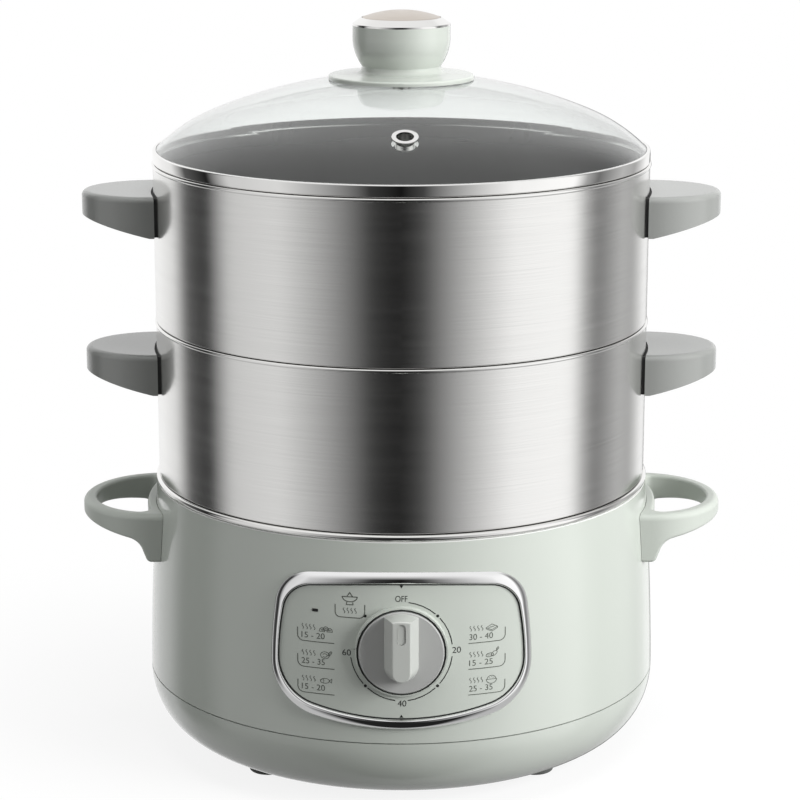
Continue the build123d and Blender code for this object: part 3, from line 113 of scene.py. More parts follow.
def mix_of(tree, factor, low, high, blend="MIX"):
    """A colour between two others, by a factor. A number stands for a grey."""
    low, high = [(value, value, value, 1) if isinstance(value, float) else value for value in (low, high)]
    first_colour, second_colour = 6, 7  # the node's sockets for colours, after those for numbers
    inputs = {"Factor": factor, first_colour: low, second_colour: high}
    return put(tree, "ShaderNodeMix", inputs, data_type="RGBA", blend_type=blend).outputs[2]


def span_of(tree, value, start, end, low=0.0, high=1.0, shape="LINEAR"):
    """A number from low to high, as a value goes from a start to an end."""
    inputs = {"Value": value, "From Min": start, "From Max": end, "To Min": low, "To Max": high}
    return put(tree, "ShaderNodeMapRange", inputs, interpolation_type=shape).outputs[0]


wall_bands = [  # degrees round from the camera towards the right, and the wall's brightness there
    (-150, 1.0), (-130, 0.85), (-117, 0.10), (-99, 0.01), (-85, 0.66), (-57, 0.76), (-34, 0.38),
    (-14, 0.04), (0, 0.008), (10, 0.06), (30, 0.50), (52, 1.0), (85, 1.1), (93, 0.40),
    (101, 0.17), (121, 0.52), (134, 0.42), (152, 1.0),
]
low_wall_bands = [(163, 1.0), (167, 0.06), (174, 0.06), (177, 1.0)]  # share of that light low down
floor_bands = [(-65, 0.5), (-38, 0.015), (38, 0.015), (65, 0.5)]
ceiling_light = 0.9
ambient_light = 0.23
# Sines of the slope where the wall runs into its lower part, the ceiling and the floor
lower_start, lower_end = 0.0, -0.1
ceiling_start, ceiling_end = 0.45, 0.85
floor_start, floor_end = -0.42, -0.66

world = bpy.data.worlds.new("studio")
scene.world = world
world.use_nodes = True
tree = world.node_tree
tree.nodes.clear()
outwards = put(tree, "ShaderNodeTexCoord").outputs["Generated"]
direction = put(tree, "ShaderNodeSeparateXYZ", {0: outwards}).outputs
azimuth = math_of(tree, "ARCTAN2", direction["X"], math_of(tree, "MULTIPLY", direction["Y"], -1))
turn = math_of(tree, "MULTIPLY_ADD", azimuth, 1 / (2 * math.pi), 0.5)
wall, floor, low_wall = [
    ramp_of(tree, turn, [(angle / 360 + 0.5, light) for angle, light in bands])
    for bands in (wall_bands, floor_bands, low_wall_bands)
]
lower = span_of(tree, direction["Z"], lower_start, lower_end, 1.0, low_wall)
wall = mix_of(tree, 1.0, wall, lower, "MULTIPLY")
above = span_of(tree, direction["Z"], ceiling_start, ceiling_end, shape="SMOOTHSTEP")
below = span_of(tree, direction["Z"], floor_start, floor_end, shape="SMOOTHSTEP")
room = mix_of(tree, below, mix_of(tree, above, wall, ceiling_light), floor)

# Reflections see the room, and matt faces get an even grey light. The camera itself sees plain
# white, also straight through the glass.
path = put(tree, "ShaderNodeLightPath").outputs
mirrored = math_of(tree, "MAXIMUM", path["Is Glossy Ray"], path["Is Transmission Ray"])
bounces = math_of(tree, "ADD", path["Glossy Depth"], path["Diffuse Depth"])
no_bounce = math_of(tree, "LESS_THAN", bounces, 0.5)
through_glass = math_of(tree, "MULTIPLY", path["Is Transmission Ray"], no_bounce)
in_view = math_of(tree, "MAXIMUM", path["Is Camera Ray"], through_glass)
lit = mix_of(tree, in_view, mix_of(tree, mirrored, ambient_light, room), 1.0)
background = put(tree, "ShaderNodeBackground", {"Color": lit})
put(tree, "ShaderNodeOutputWorld", {"Surface": background.outputs[0]})

for name, place, size, power in (
    ("key", (1.35, -0.75, 0.7), 0.9, 38),
    ("fill", (-1.5, -0.4, 0.6), 0.8, 6.5),
    ("top", (0.1, -0.1, 1.5), 1.0, 12),
):
    lamp = bpy.data.objects.new(f"{name}_lamp", bpy.data.lights.new(name, "AREA"))
    lamp.data.size = size
    lamp.data.energy = power
    lamp.location = place
    aim = cad_low.lerp(cad_high, 0.5) - lamp.location
    lamp.rotation_euler = aim.to_track_quat("-Z", "Y").to_euler()
    lamp.visible_glossy = False
    lamp.visible_transmission = False
    scene.collection.objects.link(lamp)


# The table: a white sheet that keeps a faint shadow under the feet and fades into the white room.
# Metal and gloss don't reflect it, so that the dark floor of the studio shows in them.
table_half = 3.0
table_glow = 0.86  # share of the sheet's white that doesn't darken in the shadow
shadow_start, shadow_end = 0.15, 0.4  # from the middle, where the shadow fades
matt_in_view, matt_elsewhere = 0.95, 0.22  # the sheet's brightness
table_mesh = bpy.data.meshes.new("table")
table_mesh.from_pydata(
    [(x * table_half, y * table_half, 0) for x, y in ((-1, -1), (1, -1), (1, 1), (-1, 1))],
    [], [(0, 1, 2, 3)],
)
table = bpy.data.objects.new("table", table_mesh)
sheet = bpy.data.materials.new("white_sheet")
sheet.use_nodes = True
tree = sheet.node_tree
tree.nodes.clear()
path = put(tree, "ShaderNodeLightPath").outputs
seen = math_of(tree, "MAXIMUM", path["Is Camera Ray"], path["Is Transmission Ray"])
glow = put(tree, "ShaderNodeEmission", {"Color": (1, 1, 1, 1)})
matt = put(tree, "ShaderNodeBsdfDiffuse", {"Color": mix_of(tree, seen, matt_elsewhere, matt_in_view)})
place = put(tree, "ShaderNodeTexCoord").outputs["Object"]
from_middle = put(tree, "ShaderNodeVectorMath", {0: place}, operation="LENGTH").outputs["Value"]
share = span_of(tree, from_middle, shadow_start, shadow_end, table_glow, 1.0, "SMOOTHSTEP")
mixed = put(
    tree, "ShaderNodeMixShader",
    {0: math_of(tree, "MULTIPLY", seen, share), 1: matt.outputs[0], 2: glow.outputs[0]},
)
put(tree, "ShaderNodeOutputMaterial", {"Surface": mixed.outputs[0]})
table_mesh.materials.append(sheet)
table.visible_glossy = False
scene.collection.objects.link(table)


# Sage mouldings: the base shell, bottom cover, lid knob and timer knob are moulded in glossy
# polypropylene, a pale grey-green with a faint unevenness from the mould. The base handles have a
# satin skin, and the timer's disc is a plainer grey.

def new_material(name):
    """A material with nodes, its tree and its surface."""
    material = bpy.data.materials.new(name)
    material.use_nodes = True
    return material, material.node_tree, material.node_tree.nodes["Principled BSDF"]


def dress(material, *names):
    """Gives CAD nodes their material."""
    for name in names:
        nodes[name].data.materials.clear()
        nodes[name].data.materials.append(material)


def moulded(name, colour, roughness, grain=0.00002, coat=0.0, mottle=0.06):
    """Moulded plastic: a faint drift of colour, a slightly uneven gloss and a fine grain."""
    material, tree, plastic = new_material(name)
    place = put(tree, "ShaderNodeTexCoord").outputs["Object"]
    drift = put(tree, "ShaderNodeTexNoise", {"Vector": place, "Scale": 9.0, "Detail": 2.0})
    fine = put(tree, "ShaderNodeTexNoise", {"Vector": place, "Scale": 900.0, "Detail": 3.0})
    darker, lighter = [tuple(channel * (1 + step) for channel in colour) for step in (-mottle, mottle)]
    shade = [(0.3, darker), (0.7, lighter)]
    tree.links.new(ramp_of(tree, drift.outputs["Fac"], shade), plastic.inputs["Base Color"])
    gloss = span_of(tree, fine.outputs["Fac"], 0.0, 1.0, roughness * 0.85, roughness * 1.15)
    tree.links.new(gloss, plastic.inputs["Roughness"])
    bump = put(tree, "ShaderNodeBump", {"Height": fine.outputs["Fac"], "Distance": grain, "Strength": 0.6})
    tree.links.new(bump.outputs[0], plastic.inputs["Normal"])
    plastic.inputs["Coat Weight"].default_value = coat
    plastic.inputs["Coat Roughness"].default_value = 0.04
    return material


sage = (0.47, 0.50, 0.46)
sage_gloss = moulded("sage_gloss", sage, 0.22, coat=0.6, mottle=0.02)
dress(sage_gloss, "base_shell", "bottom_cover", "lid_knob_skirt", "lid_knob_body")
dress(moulded("sage_satin", sage, 0.42, coat=0.05, mottle=0.02), "base_handle_left", "base_handle_right")
dial_gloss = moulded("dial_gloss", (0.47, 0.485, 0.46), 0.3, coat=0.3, mottle=0.02)
dress(dial_gloss, "dial_grip", "dial_pointer")
dress(moulded("dial_satin", (0.41, 0.415, 0.405), 0.34, coat=0.2, mottle=0.02), "dial_disc")


# Brushed steel: the two tiers and the pot are drawn from stainless sheet and brushed on a wheel,
# which leaves fine lines round the wall and stretches every reflection up and down. Their insides
# have a duller finish, and a darker colour that is painted shade for the shadowed inside of the vessels.

edge_blend = 0.0002


def brushed(name, colour, roughness, lines=4200.0, depth=0.000004, anisotropic=0.5, inside=None):
    """Metal brushed round Z. Inside a wall's radius it may have another roughness, and another colour, which
    is painted shade.
    """
    material, tree, steel = new_material(name)
    middle = put(tree, "ShaderNodeTexCoord").outputs["Object"]
    place = put(tree, "ShaderNodeSeparateXYZ", {0: middle}).outputs
    round_turn = math_of(tree, "ARCTAN2", place["X"], place["Y"])
    y_squared = math_of(tree, "MULTIPLY", place["Y"], place["Y"])
    distance = math_of(tree, "SQRT", math_of(tree, "MULTIPLY_ADD", place["X"], place["X"], y_squared))
    along = put(
        tree, "ShaderNodeCombineXYZ",
        {
            "X": math_of(tree, "MULTIPLY", round_turn, 2.0),
            "Y": math_of(tree, "MULTIPLY", distance, lines),
            "Z": math_of(tree, "MULTIPLY", place["Z"], lines),
        },
    )
    scratch = put(tree, "ShaderNodeTexNoise", {"Vector": along.outputs[0], "Scale": 1.0, "Detail": 4.0})
    broad = put(tree, "ShaderNodeTexNoise", {"Vector": along.outputs[0], "Scale": 0.06, "Detail": 2.0})
    darker, lighter = [tuple(min(channel * share, 1) for channel in colour) for share in (0.93, 1.05)]
    colours = ramp_of(tree, scratch.outputs["Fac"], [(0.25, darker), (0.75, lighter)])
    gloss = span_of(tree, broad.outputs["Fac"], 0.0, 1.0, roughness * 0.8, roughness * 1.2)
    if inside:
        wall_radius, inner_roughness, inner_shade_colour = inside
        within = span_of(tree, distance, wall_radius + edge_blend, wall_radius)
        duller = math_of(tree, "MULTIPLY", within, inner_roughness - roughness)
        gloss = math_of(tree, "ADD", gloss, duller)
        colours = mix_of(tree, within, colours, (*inner_shade_colour, 1))
    tree.links.new(colours, steel.inputs["Base Color"])
    tree.links.new(gloss, steel.inputs["Roughness"])
    bump = put(tree, "ShaderNodeBump", {"Height": scratch.outputs["Fac"], "Distance": depth, "Strength": 0.5})
    tree.links.new(bump.outputs[0], steel.inputs["Normal"])
    round_axis = put(tree, "ShaderNodeTangent", direction_type="RADIAL", axis="Z")
    tree.links.new(round_axis.outputs[0], steel.inputs["Tangent"])
    steel.inputs["Metallic"].default_value = 1.0
    steel.inputs["Anisotropic"].default_value = anisotropic
    return material


wall_inside_dull_and_shaded = (0.1295, 0.3, (0.4, 0.4, 0.395))  # radius, and the duller roughness and the painted-shade colour inside it
brushed_steel = brushed("brushed_steel", (0.86, 0.855, 0.84), 0.17, inside=wall_inside_dull_and_shaded)
dress(brushed_steel, "lower_tier_shell", "upper_tier_shell", "inner_pot", "inner_pot_floor")


# Polished trim: the lid's rim band, the vent eyelet, the knob ring, the panel frame and the
# handle bolts are stainless or chromed, buffed bright with a few hairline scuffs.

def polished(name, colour, roughness):
    """Bright metal with faint wipe marks."""
    material, tree, metal = new_material(name)
    place = put(tree, "ShaderNodeTexCoord").outputs["Object"]
    wipe = put(tree, "ShaderNodeTexNoise", {"Vector": place, "Scale": 60.0, "Detail": 4.0})
    gloss = span_of(tree, wipe.outputs["Fac"], 0.0, 1.0, roughness * 0.6, roughness * 1.5)
    tree.links.new(gloss, metal.inputs["Roughness"])
    shade = [(0.3, tuple(channel * 0.97 for channel in colour)), (0.7, colour)]
    tree.links.new(ramp_of(tree, wipe.outputs["Fac"], shade), metal.inputs["Base Color"])
    metal.inputs["Metallic"].default_value = 1.0
    return material


bright_steel = polished("bright_steel", (0.9, 0.895, 0.88), 0.045)
dress(
    bright_steel, "lid_rim_band", "steam_vent_grommet", "lid_knob_ring", "lid_knob_screw",
    "panel_frame", "lower_tier_handle_bolts", "upper_tier_handle_bolts",
)


# Rolled rims: the pot and both tiers end in a bead that is rolled over and buffed bright. Each is a
# round rod of steel bent to a ring. The three differ only in their sizes, which are in metres.

def tree_of(name, *inputs):
    """A new Geometry Nodes tree with named inputs and one geometry output."""
    tree = bpy.data.node_groups.new(name, "GeometryNodeTree")
    for input_name, kind in inputs:
        tree.interface.new_socket(input_name, in_out="INPUT", socket_type=f"NodeSocket{kind}")
    tree.interface.new_socket("Result", in_out="OUTPUT", socket_type="NodeSocketGeometry")
    return tree, put(tree, "NodeGroupInput")


def end_tree(tree, geometry, finish):
    """Ends a tree with real geometry in one material."""
    whole = put(tree, "GeometryNodeRealizeInstances", {"Geometry": geometry})
    finished = put(tree, "GeometryNodeSetMaterial", {"Geometry": whole.outputs[0], "Material": finish})
    put(tree, "NodeGroupOutput", {"Result": finished.outputs[0]})


def grown(name, tree, body, slot, smooth=True, mesh=None, **given):
    """Runs a tree with its named inputs, and makes the result a plain mesh that rides on a body."""
    piece = bpy.data.objects.new(name, mesh or bpy.data.meshes.new(name))
    scene.collection.objects.link(piece)
    modifier = piece.modifiers.new(name, "NODES")
    modifier.node_group = tree
    for socket in tree.interface.items_tree:
        if socket.name in given:
            modifier[socket.identifier] = given[socket.name]
    result = bpy.data.meshes.new_from_object(piece.evaluated_get(bpy.context.evaluated_depsgraph_get()))
    piece.modifiers.remove(modifier)
    piece.data = result
    result.name = name
    for face in result.polygons:
        face.use_smooth = smooth
    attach(piece, body)
    return piece


rolled_rim, given = tree_of(
    "rolled_rim", ("Ring", "Float"), ("Height", "Float"), ("Rod", "Float"), ("Finish", "Material")
)
ring, rod = [
    put(
        rolled_rim, "GeometryNodeCurvePrimitiveCircle",
        {"Resolution": sides, "Radius": given.outputs[radius]},
    )
    for sides, radius in ((360, "Ring"), (20, "Rod"))
]
bent = put(
    rolled_rim, "GeometryNodeCurveToMesh", {"Curve": ring.outputs[0], "Profile Curve": rod.outputs[0]}
)
height = put(rolled_rim, "ShaderNodeCombineXYZ", {"Z": given.outputs["Height"]})
raised = put(
    rolled_rim, "GeometryNodeTransform", {"Geometry": bent.outputs[0], "Translation": height.outputs[0]}
)
end_tree(rolled_rim, raised.outputs[0], given.outputs["Finish"])
for body, ring_radius, ring_height, rod_radius in (
    ("base", 0.1299, 0.1450, 0.00164),
    ("lower_tier", 0.1296, 0.2290, 0.00104),
    ("upper_tier", 0.1296, 0.3124, 0.00104),
):
    grown(
        f"{body}_rolled_rim", rolled_rim, body, "steel",
        Ring=ring_radius, Height=ring_height, Rod=rod_radius, Finish=bright_steel,
    )


# Lid glass: one pressed dome of tempered soda-lime glass, clear, with the faint green cast that
# such glass has in its thickness. A crown arc runs into a tighter shoulder, and its edge stands
# in the steel band; the steam vent's eyelet goes through a round hole near the shoulder.
glass, tree, clear = new_material("tempered_glass")
clear.inputs["Base Color"].default_value = (0.97, 0.99, 0.98, 1)
clear.inputs["Roughness"].default_value = 0.0
clear.inputs["IOR"].default_value = 1.5
clear.inputs["Transmission Weight"].default_value = 1.0
dress(glass, "lid_glass")

crown_radius, crown_low, shoulder_radius = 262.0, 95.672, 86.0
shoulder_out, shoulder_low = 68.519, 257.787
crown_turn, edge_turn = 22.912, 43.76  # degrees from upright, where the shoulder starts and ends
crown_steps, shoulder_steps, dome_sides = 28, 12, 180
hole_radius, glass_foot, glass_wall, glass_inset = 3.3, 315.0, 1.8, 0.02
vent_lean = 22.312  # degrees from upright
drill_radius, drill_length, drill_sides = 5.0, 30.0, 48
sharp_turn = 35  # degrees between two faces, above which their edge looks sharp


def dome_line(inset):
    """(r, z) points of the dome's outer face, or of a face parallel to it."""
    crown, shoulder = crown_radius - inset, shoulder_radius - inset
    start = math.asin(hole_radius / crown)
    end = math.radians(crown_turn)
    turns = [start + (end - start) * step / crown_steps for step in range(crown_steps + 1)]
    line = [(crown * math.sin(turn), crown_low + crown * math.cos(turn)) for turn in turns]
    for step in range(1, shoulder_steps + 1):
        turn = math.radians(crown_turn + (edge_turn - crown_turn) * step / shoulder_steps)
        line.append((shoulder_out + shoulder * math.sin(turn), shoulder_low + shoulder * math.cos(turn)))
    return line


def turned_piece(name, section, segments):
    """A closed (r, z) section in millimetres, turned about the pot's axis."""
    body = bmesh.new()
    rings = [
        [
            body.verts.new((mm * r * math.cos(angle), mm * r * math.sin(angle), mm * z))
            for angle in (2 * math.pi * step / segments for step in range(segments))
        ]
        for r, z in section
    ]
    for ring, beyond in zip(rings, rings[1:] + rings[:1]):
        for index in range(segments):
            body.faces.new((ring[index - 1], beyond[index - 1], beyond[index], ring[index]))
    bmesh.ops.recalc_face_normals(body, faces=body.faces)
    mesh = bpy.data.meshes.new(name)
    body.to_mesh(mesh)
    body.free()
    piece = bpy.data.objects.new(name, mesh)
    scene.collection.objects.link(piece)
    return piece


def finish_turned(piece, mesh, material, body, node):
    """Gives a turned piece its final mesh and material, and puts it in a node's place."""
    piece.data = mesh
    mesh.name = piece.name
    for face in mesh.polygons:
        face.use_smooth = True
    mesh.set_sharp_from_angle(angle=math.radians(sharp_turn))
    mesh.materials.clear()
    mesh.materials.append(material)
    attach(piece, body)
    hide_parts(node)


outside, inside = dome_line(glass_inset), dome_line(glass_wall)
section = outside + [(outside[-1][0], glass_foot), (inside[-1][0], glass_foot)] + inside[::-1]
lid_dome = turned_piece("lid_dome", section, dome_sides)

vent_low, vent_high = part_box("steam_vent_grommet")
drill = bmesh.new()
bmesh.ops.create_cone(
    drill, cap_ends=True, segments=drill_sides,
    radius1=mm * drill_radius, radius2=mm * drill_radius, depth=mm * drill_length,
)
drill_mesh = bpy.data.meshes.new("drill")
drill.to_mesh(drill_mesh)
drill.free()
drill_bit = bpy.data.objects.new("drill", drill_mesh)
drill_bit.location = (Vector(vent_low) + Vector(vent_high)) / 2
drill_bit.rotation_euler = (math.radians(vent_lean), 0, 0)
scene.collection.objects.link(drill_bit)
cut = lid_dome.modifiers.new("vent_hole", "BOOLEAN")
cut.object = drill_bit
cut.operation = "DIFFERENCE"
cut.solver = "EXACT"
drilled = bpy.data.meshes.new_from_object(lid_dome.evaluated_get(bpy.context.evaluated_depsgraph_get()))
lid_dome.modifiers.remove(cut)
bpy.data.objects.remove(drill_bit)
finish_turned(lid_dome, drilled, glass, "lid", "lid_glass")


# Rim band: a strip of stainless steel pressed round the glass's edge, with its two corners rolled
# to a small radius and a skirt that nests in the upper tier. It is buffed like a mirror.
band_low, band_high, band_out, band_mouth = 313.7, 319.9, 130.0, 128.15
band_wall, band_corner, corner_steps, band_sides = 0.8, 0.8, 6, 360
skirt_low, skirt_out = 307.7, 127.2


def rolled_corner(z, start):
    """(r, z) points of a quarter turn round a height, from an angle above outwards."""
    angles = [math.radians(start + 90 * step / corner_steps) for step in range(corner_steps + 1)]
    r = band_out - band_corner
    return [(r + band_corner * math.cos(angle), z + band_corner * math.sin(angle)) for angle in angles]


section = (
    [(skirt_out, skirt_low), (skirt_out, band_low)]
    + rolled_corner(band_low + band_corner, -90)
    + rolled_corner(band_high - band_corner, 0)
    + [
        (band_mouth, band_high), (band_mouth, band_high - band_wall),
        (band_out - band_wall, band_high - band_wall), (band_out - band_wall, band_low + band_wall),
        (skirt_out - band_wall, band_low + band_wall), (skirt_out - band_wall, skirt_low),
    ]
)
rim_strip = turned_piece("rim_strip", section, band_sides)
finish_turned(rim_strip, rim_strip.data, bright_steel, "lid", "lid_rim_band")


# Tier handles: solid grips in a grey heat-proof plastic with a satin skin, a black gasket
# between each grip and the steel, and two bolts through the wall.
grip_grey = moulded("grip_grey", (0.25, 0.257, 0.247), 0.3, coat=0.5, mottle=0.02)
gasket_black = moulded("gasket_black", (0.02, 0.02, 0.02), 0.7)
for tier in ("lower", "upper"):
    dress(grip_grey, f"{tier}_tier_handle_left", f"{tier}_tier_handle_right")
    dress(gasket_black, f"{tier}_tier_handle_gaskets")


# Knob cap: a shallow dome pressed from champagne-coloured aluminium, in the middle of the lid's
# knob. Its satin finish has fine lines round it.
cap_metal = brushed("champagne_aluminium", (0.66, 0.60, 0.54), 0.3, lines=2500.0, anisotropic=0.3)
dress(cap_metal, "lid_knob_cap")


# Control panel: a satin plate in the shell's own green that follows the shell's round front. A dark
# lens at its upper left covers the indicator lamp.
panel_satin = moulded("panel_satin", sage, 0.34, mottle=0.02)
dress(panel_satin, "control_panel")
lens_dark = moulded("lens_dark", (0.008, 0.008, 0.008), 0.5)
dress(lens_dark, "indicator_lens")


# Printed marks: an open-sided box for each kind of food, with a small picture and its minutes, and
# round the dial the minutes, arcs and dots. All are screen printed on the panel in grey and black ink.
# They are drawn square on from the front in millimetres, and then laid on the panel's curve.
longest_step, sharpest_mitre = 0.8, 0.6
degrees_a_step = 12


def strip(drawing, points, width, closed=False):
    """A flat line of even width through (x, z) points."""
    ends = points[1:] + points[:1] if closed else points[1:]
    line = []
    for start, end in zip(map(Vector, points), map(Vector, ends)):
        steps = max(1, math.ceil((end - start).length / longest_step))
        line += [start.lerp(end, step / steps) for step in range(steps)]
    if not closed:
        line.append(Vector(points[-1]))
    rows = []
    for index, point in enumerate(line):
        towards = (line[(index + 1) % len(line)] - point) if closed or index < len(line) - 1 else None
        since = (point - line[index - 1]) if closed or index else towards
        towards = towards or since
        ahead = (since.normalized() + towards.normalized()).normalized()
        half = width / 2 / max(ahead.dot(towards.normalized()), sharpest_mitre)
        rows.append([
            drawing.verts.new((point.x - side * ahead.y * half, 0, point.y + side * ahead.x * half))
            for side in (1, -1)
        ])
    for row, beyond in zip(rows, rows[1:] + rows[:1] if closed else rows[1:]):
        drawing.faces.new((row[0], row[1], beyond[1], beyond[0]))


def bow(centre, half_width, half_height, start=0, end=360, tilt=0):
    """Points of an ellipse's arc, by angles clockwise from its top."""
    steps = max(4, math.ceil(abs(end - start) / degrees_a_step))
    lean = math.radians(tilt)
    points = []
    for step in range(steps + (end - start < 360)):
        angle = math.radians(start + (end - start) * step / steps)
        x, z = half_width * math.sin(angle), half_height * math.cos(angle)
        points.append((
            centre[0] + x * math.cos(lean) - z * math.sin(lean),
            centre[1] + x * math.sin(lean) + z * math.cos(lean),
        ))
    return points


def patch(drawing, points):
    """A filled outline, given the other way round to the clock."""
    drawing.faces.new([drawing.verts.new((x, 0, z)) for x, z in points])


def label(drawing, words, left, right, low, high):
    """Numbers, or OFF, drawn to fill a box."""
    writing = bpy.data.objects.new(words, bpy.data.curves.new(words, "FONT"))
    writing.data.body = words
    scene.collection.objects.link(writing)
    shape = bpy.data.meshes.new_from_object(writing.evaluated_get(bpy.context.evaluated_depsgraph_get()))
    bpy.data.objects.remove(writing)
    first = len(drawing.verts)
    drawing.from_mesh(shape)
    drawing.verts.ensure_lookup_table()
    letters = drawing.verts[first:]
    across = [vert.co.x for vert in letters]
    up = [vert.co.y for vert in letters]
    for vert in letters:
        x = (vert.co.x - min(across)) / (max(across) - min(across))
        z = (vert.co.y - min(up)) / (max(up) - min(up))
        vert.co = (left + (right - left) * x, 0, low + (high - low) * z)
    bpy.data.meshes.remove(shape)


wrap, given = tree_of(
    "wrapped_on_shell", ("Drawing", "Geometry"), ("Arc out", "Float"), ("Arc height", "Float"),
    ("Arc radius", "Float"), ("Lift", "Float"), ("Finish", "Material"),
)
drawn = put(wrap, "ShaderNodeSeparateXYZ", {0: put(wrap, "GeometryNodeInputPosition").outputs[0]}).outputs
proud = math_of(wrap, "SUBTRACT", given.outputs["Lift"], drawn["Y"])


def leg_of(long_side, other_side):
    """The third side of a right-angled triangle."""
    squares = [math_of(wrap, "POWER", side, 2.0) for side in (long_side, other_side)]
    return math_of(wrap, "SQRT", math_of(wrap, "SUBTRACT", *squares))


arc = math_of(wrap, "ADD", given.outputs["Arc radius"], proud)
rise = math_of(wrap, "SUBTRACT", drawn["Z"], given.outputs["Arc height"])
shell = math_of(wrap, "ADD", given.outputs["Arc out"], leg_of(arc, rise))
front = math_of(wrap, "MULTIPLY", leg_of(shell, drawn["X"]), -1.0)
place = put(wrap, "ShaderNodeCombineXYZ", {"X": drawn["X"], "Y": front, "Z": drawn["Z"]})
wrapped = put(
    wrap, "GeometryNodeSetPosition", {"Geometry": given.outputs["Drawing"], "Position": place.outputs[0]}
)
end_tree(wrap, wrapped.outputs[0], given.outputs["Finish"])

# The shell's side is a shallow arc through its seam and its top edge.
seam, top_edge, swell = Vector((136.55, 40.0)), Vector((131.2, 142.8)), 0.88
side_arc = (top_edge - seam).length ** 2 / (8 * swell) + swell / 2
side_lean = math.atan2(seam.x - top_edge.x, top_edge.y - seam.y)
arc_out = (seam.x + top_edge.x) / 2 - (side_arc - swell) * math.cos(side_lean)
arc_height = (seam.y + top_edge.y) / 2 - (side_arc - swell) * math.sin(side_lean)


def lay(name, drawing, lift, finish, slot="panel_plastic", smooth=False):
    """Wraps a drawing in millimetres round the shell, a lift in front of its face."""
    bmesh.ops.scale(drawing, vec=(mm, mm, mm), verts=drawing.verts)
    flat = bpy.data.meshes.new(name)
    drawing.to_mesh(flat)
    drawing.free()
    return grown(
        name, wrap, "base", slot, smooth, flat,
        **{"Arc out": mm * arc_out, "Arc height": mm * arc_height, "Arc radius": mm * side_arc},
        Lift=mm * lift, Finish=finish,
    )


panel_face, ink_lift = 2.2, 0.06
grey_ink = moulded("grey_ink", (0.085, 0.095, 0.08), 0.5, grain=0.000005, mottle=0.1)
black_ink = moulded("black_ink", (0.012, 0.013, 0.012), 0.4, grain=0.000005, mottle=0.1)
bold, thin, fine, crumb, hair = 0.5, 0.42, 0.3, 0.25, 0.22  # widths of lines

row_pitch, row_gap = 13.3, 0.3
box_side, box_inner, box_corner = 51.6, 33.2, 3.0
box_top, box_low, number_low, number_high = 98.3, 91.65, 93.3, 96.3
steam_inset, steam_low = 0.7, 97.7
wave_pitch, wave_sway, wave_turn, wave_rise, wave_points = 1.9, 0.45, 1.05, 0.46, 7
food_drawing = bmesh.new()


def steam(x, z):
    """Four wavy lines side by side."""
    for wave in range(4):
        middle = x + wave_pitch * wave
        waves = [
            (middle + wave_sway * math.sin(turn * wave_turn), z + turn * wave_rise)
            for turn in range(wave_points)
        ]
        strip(food_drawing, waves, fine)


for side, left, right, ranges in (
    (-1, -49.6, -38.0, ("15 - 20", "25 - 35", "15 - 20")),
    (1, 33.6, 45.4, ("30 - 40", "15 - 25", "25 - 35")),
):
    for row, minutes in enumerate(ranges):
        drop = row_pitch * row
        top, low = box_top - drop - (row_gap if row else 0), box_low - drop
        corner = bow((box_side - box_corner, low + box_corner), box_corner, box_corner, 90, 180)
        outline = [(side * x, z) for x, z in [(box_side, top)] + corner + [(box_inner, low)]]
        strip(food_drawing, outline, thin)
        label(food_drawing, minutes, left, right, number_low - drop, number_high - drop)
        steam(left + steam_inset, steam_low - drop)


def sketch(lines, width=fine, closed=False):
    """Draws lines of one width on the food drawing."""
    for line in lines:
        strip(food_drawing, line, width, closed)


# The small pictures, each drawn round a middle at (x, z)

def dumplings(x, z):
    for step, rise in ((-1.9, 0), (0, 0.7), (1.9, 0)):
        sketch([bow((x + step, z - 1.3 + rise), 1.35, 1.9, -90, 90)], closed=True)
        pleats = [
            [(x + step + pleat, z + rise - 0.1), (x + step + pleat * 0.6, z + rise - 0.8)]
            for pleat in (-0.5, 0.0, 0.5)
        ]
        sketch(pleats, hair)


def joint_of_meat(x, z):
    sketch([bow((x - 0.5, z - 0.1), 2.2, 1.75)], closed=True)
    sketch([bow((x - 0.6, z - 0.2), 1.2, 0.85, -60, 230)])
    sketch([bow((x + 2.0, z + 0.9), 0.6, 1.35, tilt=-35)], closed=True)
    sketch([[(x + 1.4, z + 0.0), (x + 2.5, z + 1.7)]], hair)


def fish(x, z):
    tail = [(x + 1.5, z + 0.15), (x + 2.9, z + 1.2), (x + 2.7, z - 0.9)]
    sketch([bow((x - 0.6, z), 2.3, 1.25, tilt=4), tail], closed=True)
    sketch([bow((x - 1.6, z + 0.0), 0.5, 0.9, 10, 170)], hair)
    patch(food_drawing, bow((x - 2.1, z + 0.35), 0.22, 0.22)[::-1])


def slab(x, z):
    sketch([[(x - 2.8, z + 0.3), (x + 0.1, z + 1.9), (x + 2.9, z + 0.5), (x, z - 1.0)]], closed=True)
    sketch([[
        (x - 2.8, z + 0.3), (x - 2.8, z - 0.3), (x, z - 1.7), (x + 2.9, z - 0.2), (x + 2.9, z + 0.5),
    ]])
    seams = [
        [(x + step - 0.9, z + 0.15 + step * 0.2), (x + step + 0.5, z + 0.85 + step * 0.2)]
        for step in (-0.8, 0.2, 1.2)
    ]
    sketch(seams, hair)


def cobs(x, z):
    sketch([bow((x - 0.9, z - 0.5), 1.9, 0.95, tilt=8)], closed=True)
    sketch([bow((x + 1.3, z + 0.1), 1.7, 0.95, tilt=38)], closed=True)
    sketch([[(x - 0.9 + step, z + 0.1), (x - 0.8 + step, z - 1.1)] for step in (-0.9, 0.0, 0.9)], hair)
    sketch([[(x + 2.3, z + 1.2), (x + 2.8, z + 2.5)]])
    sketch([bow((x + 3.0, z + 2.4), 0.4, 0.8, tilt=-30)], closed=True)


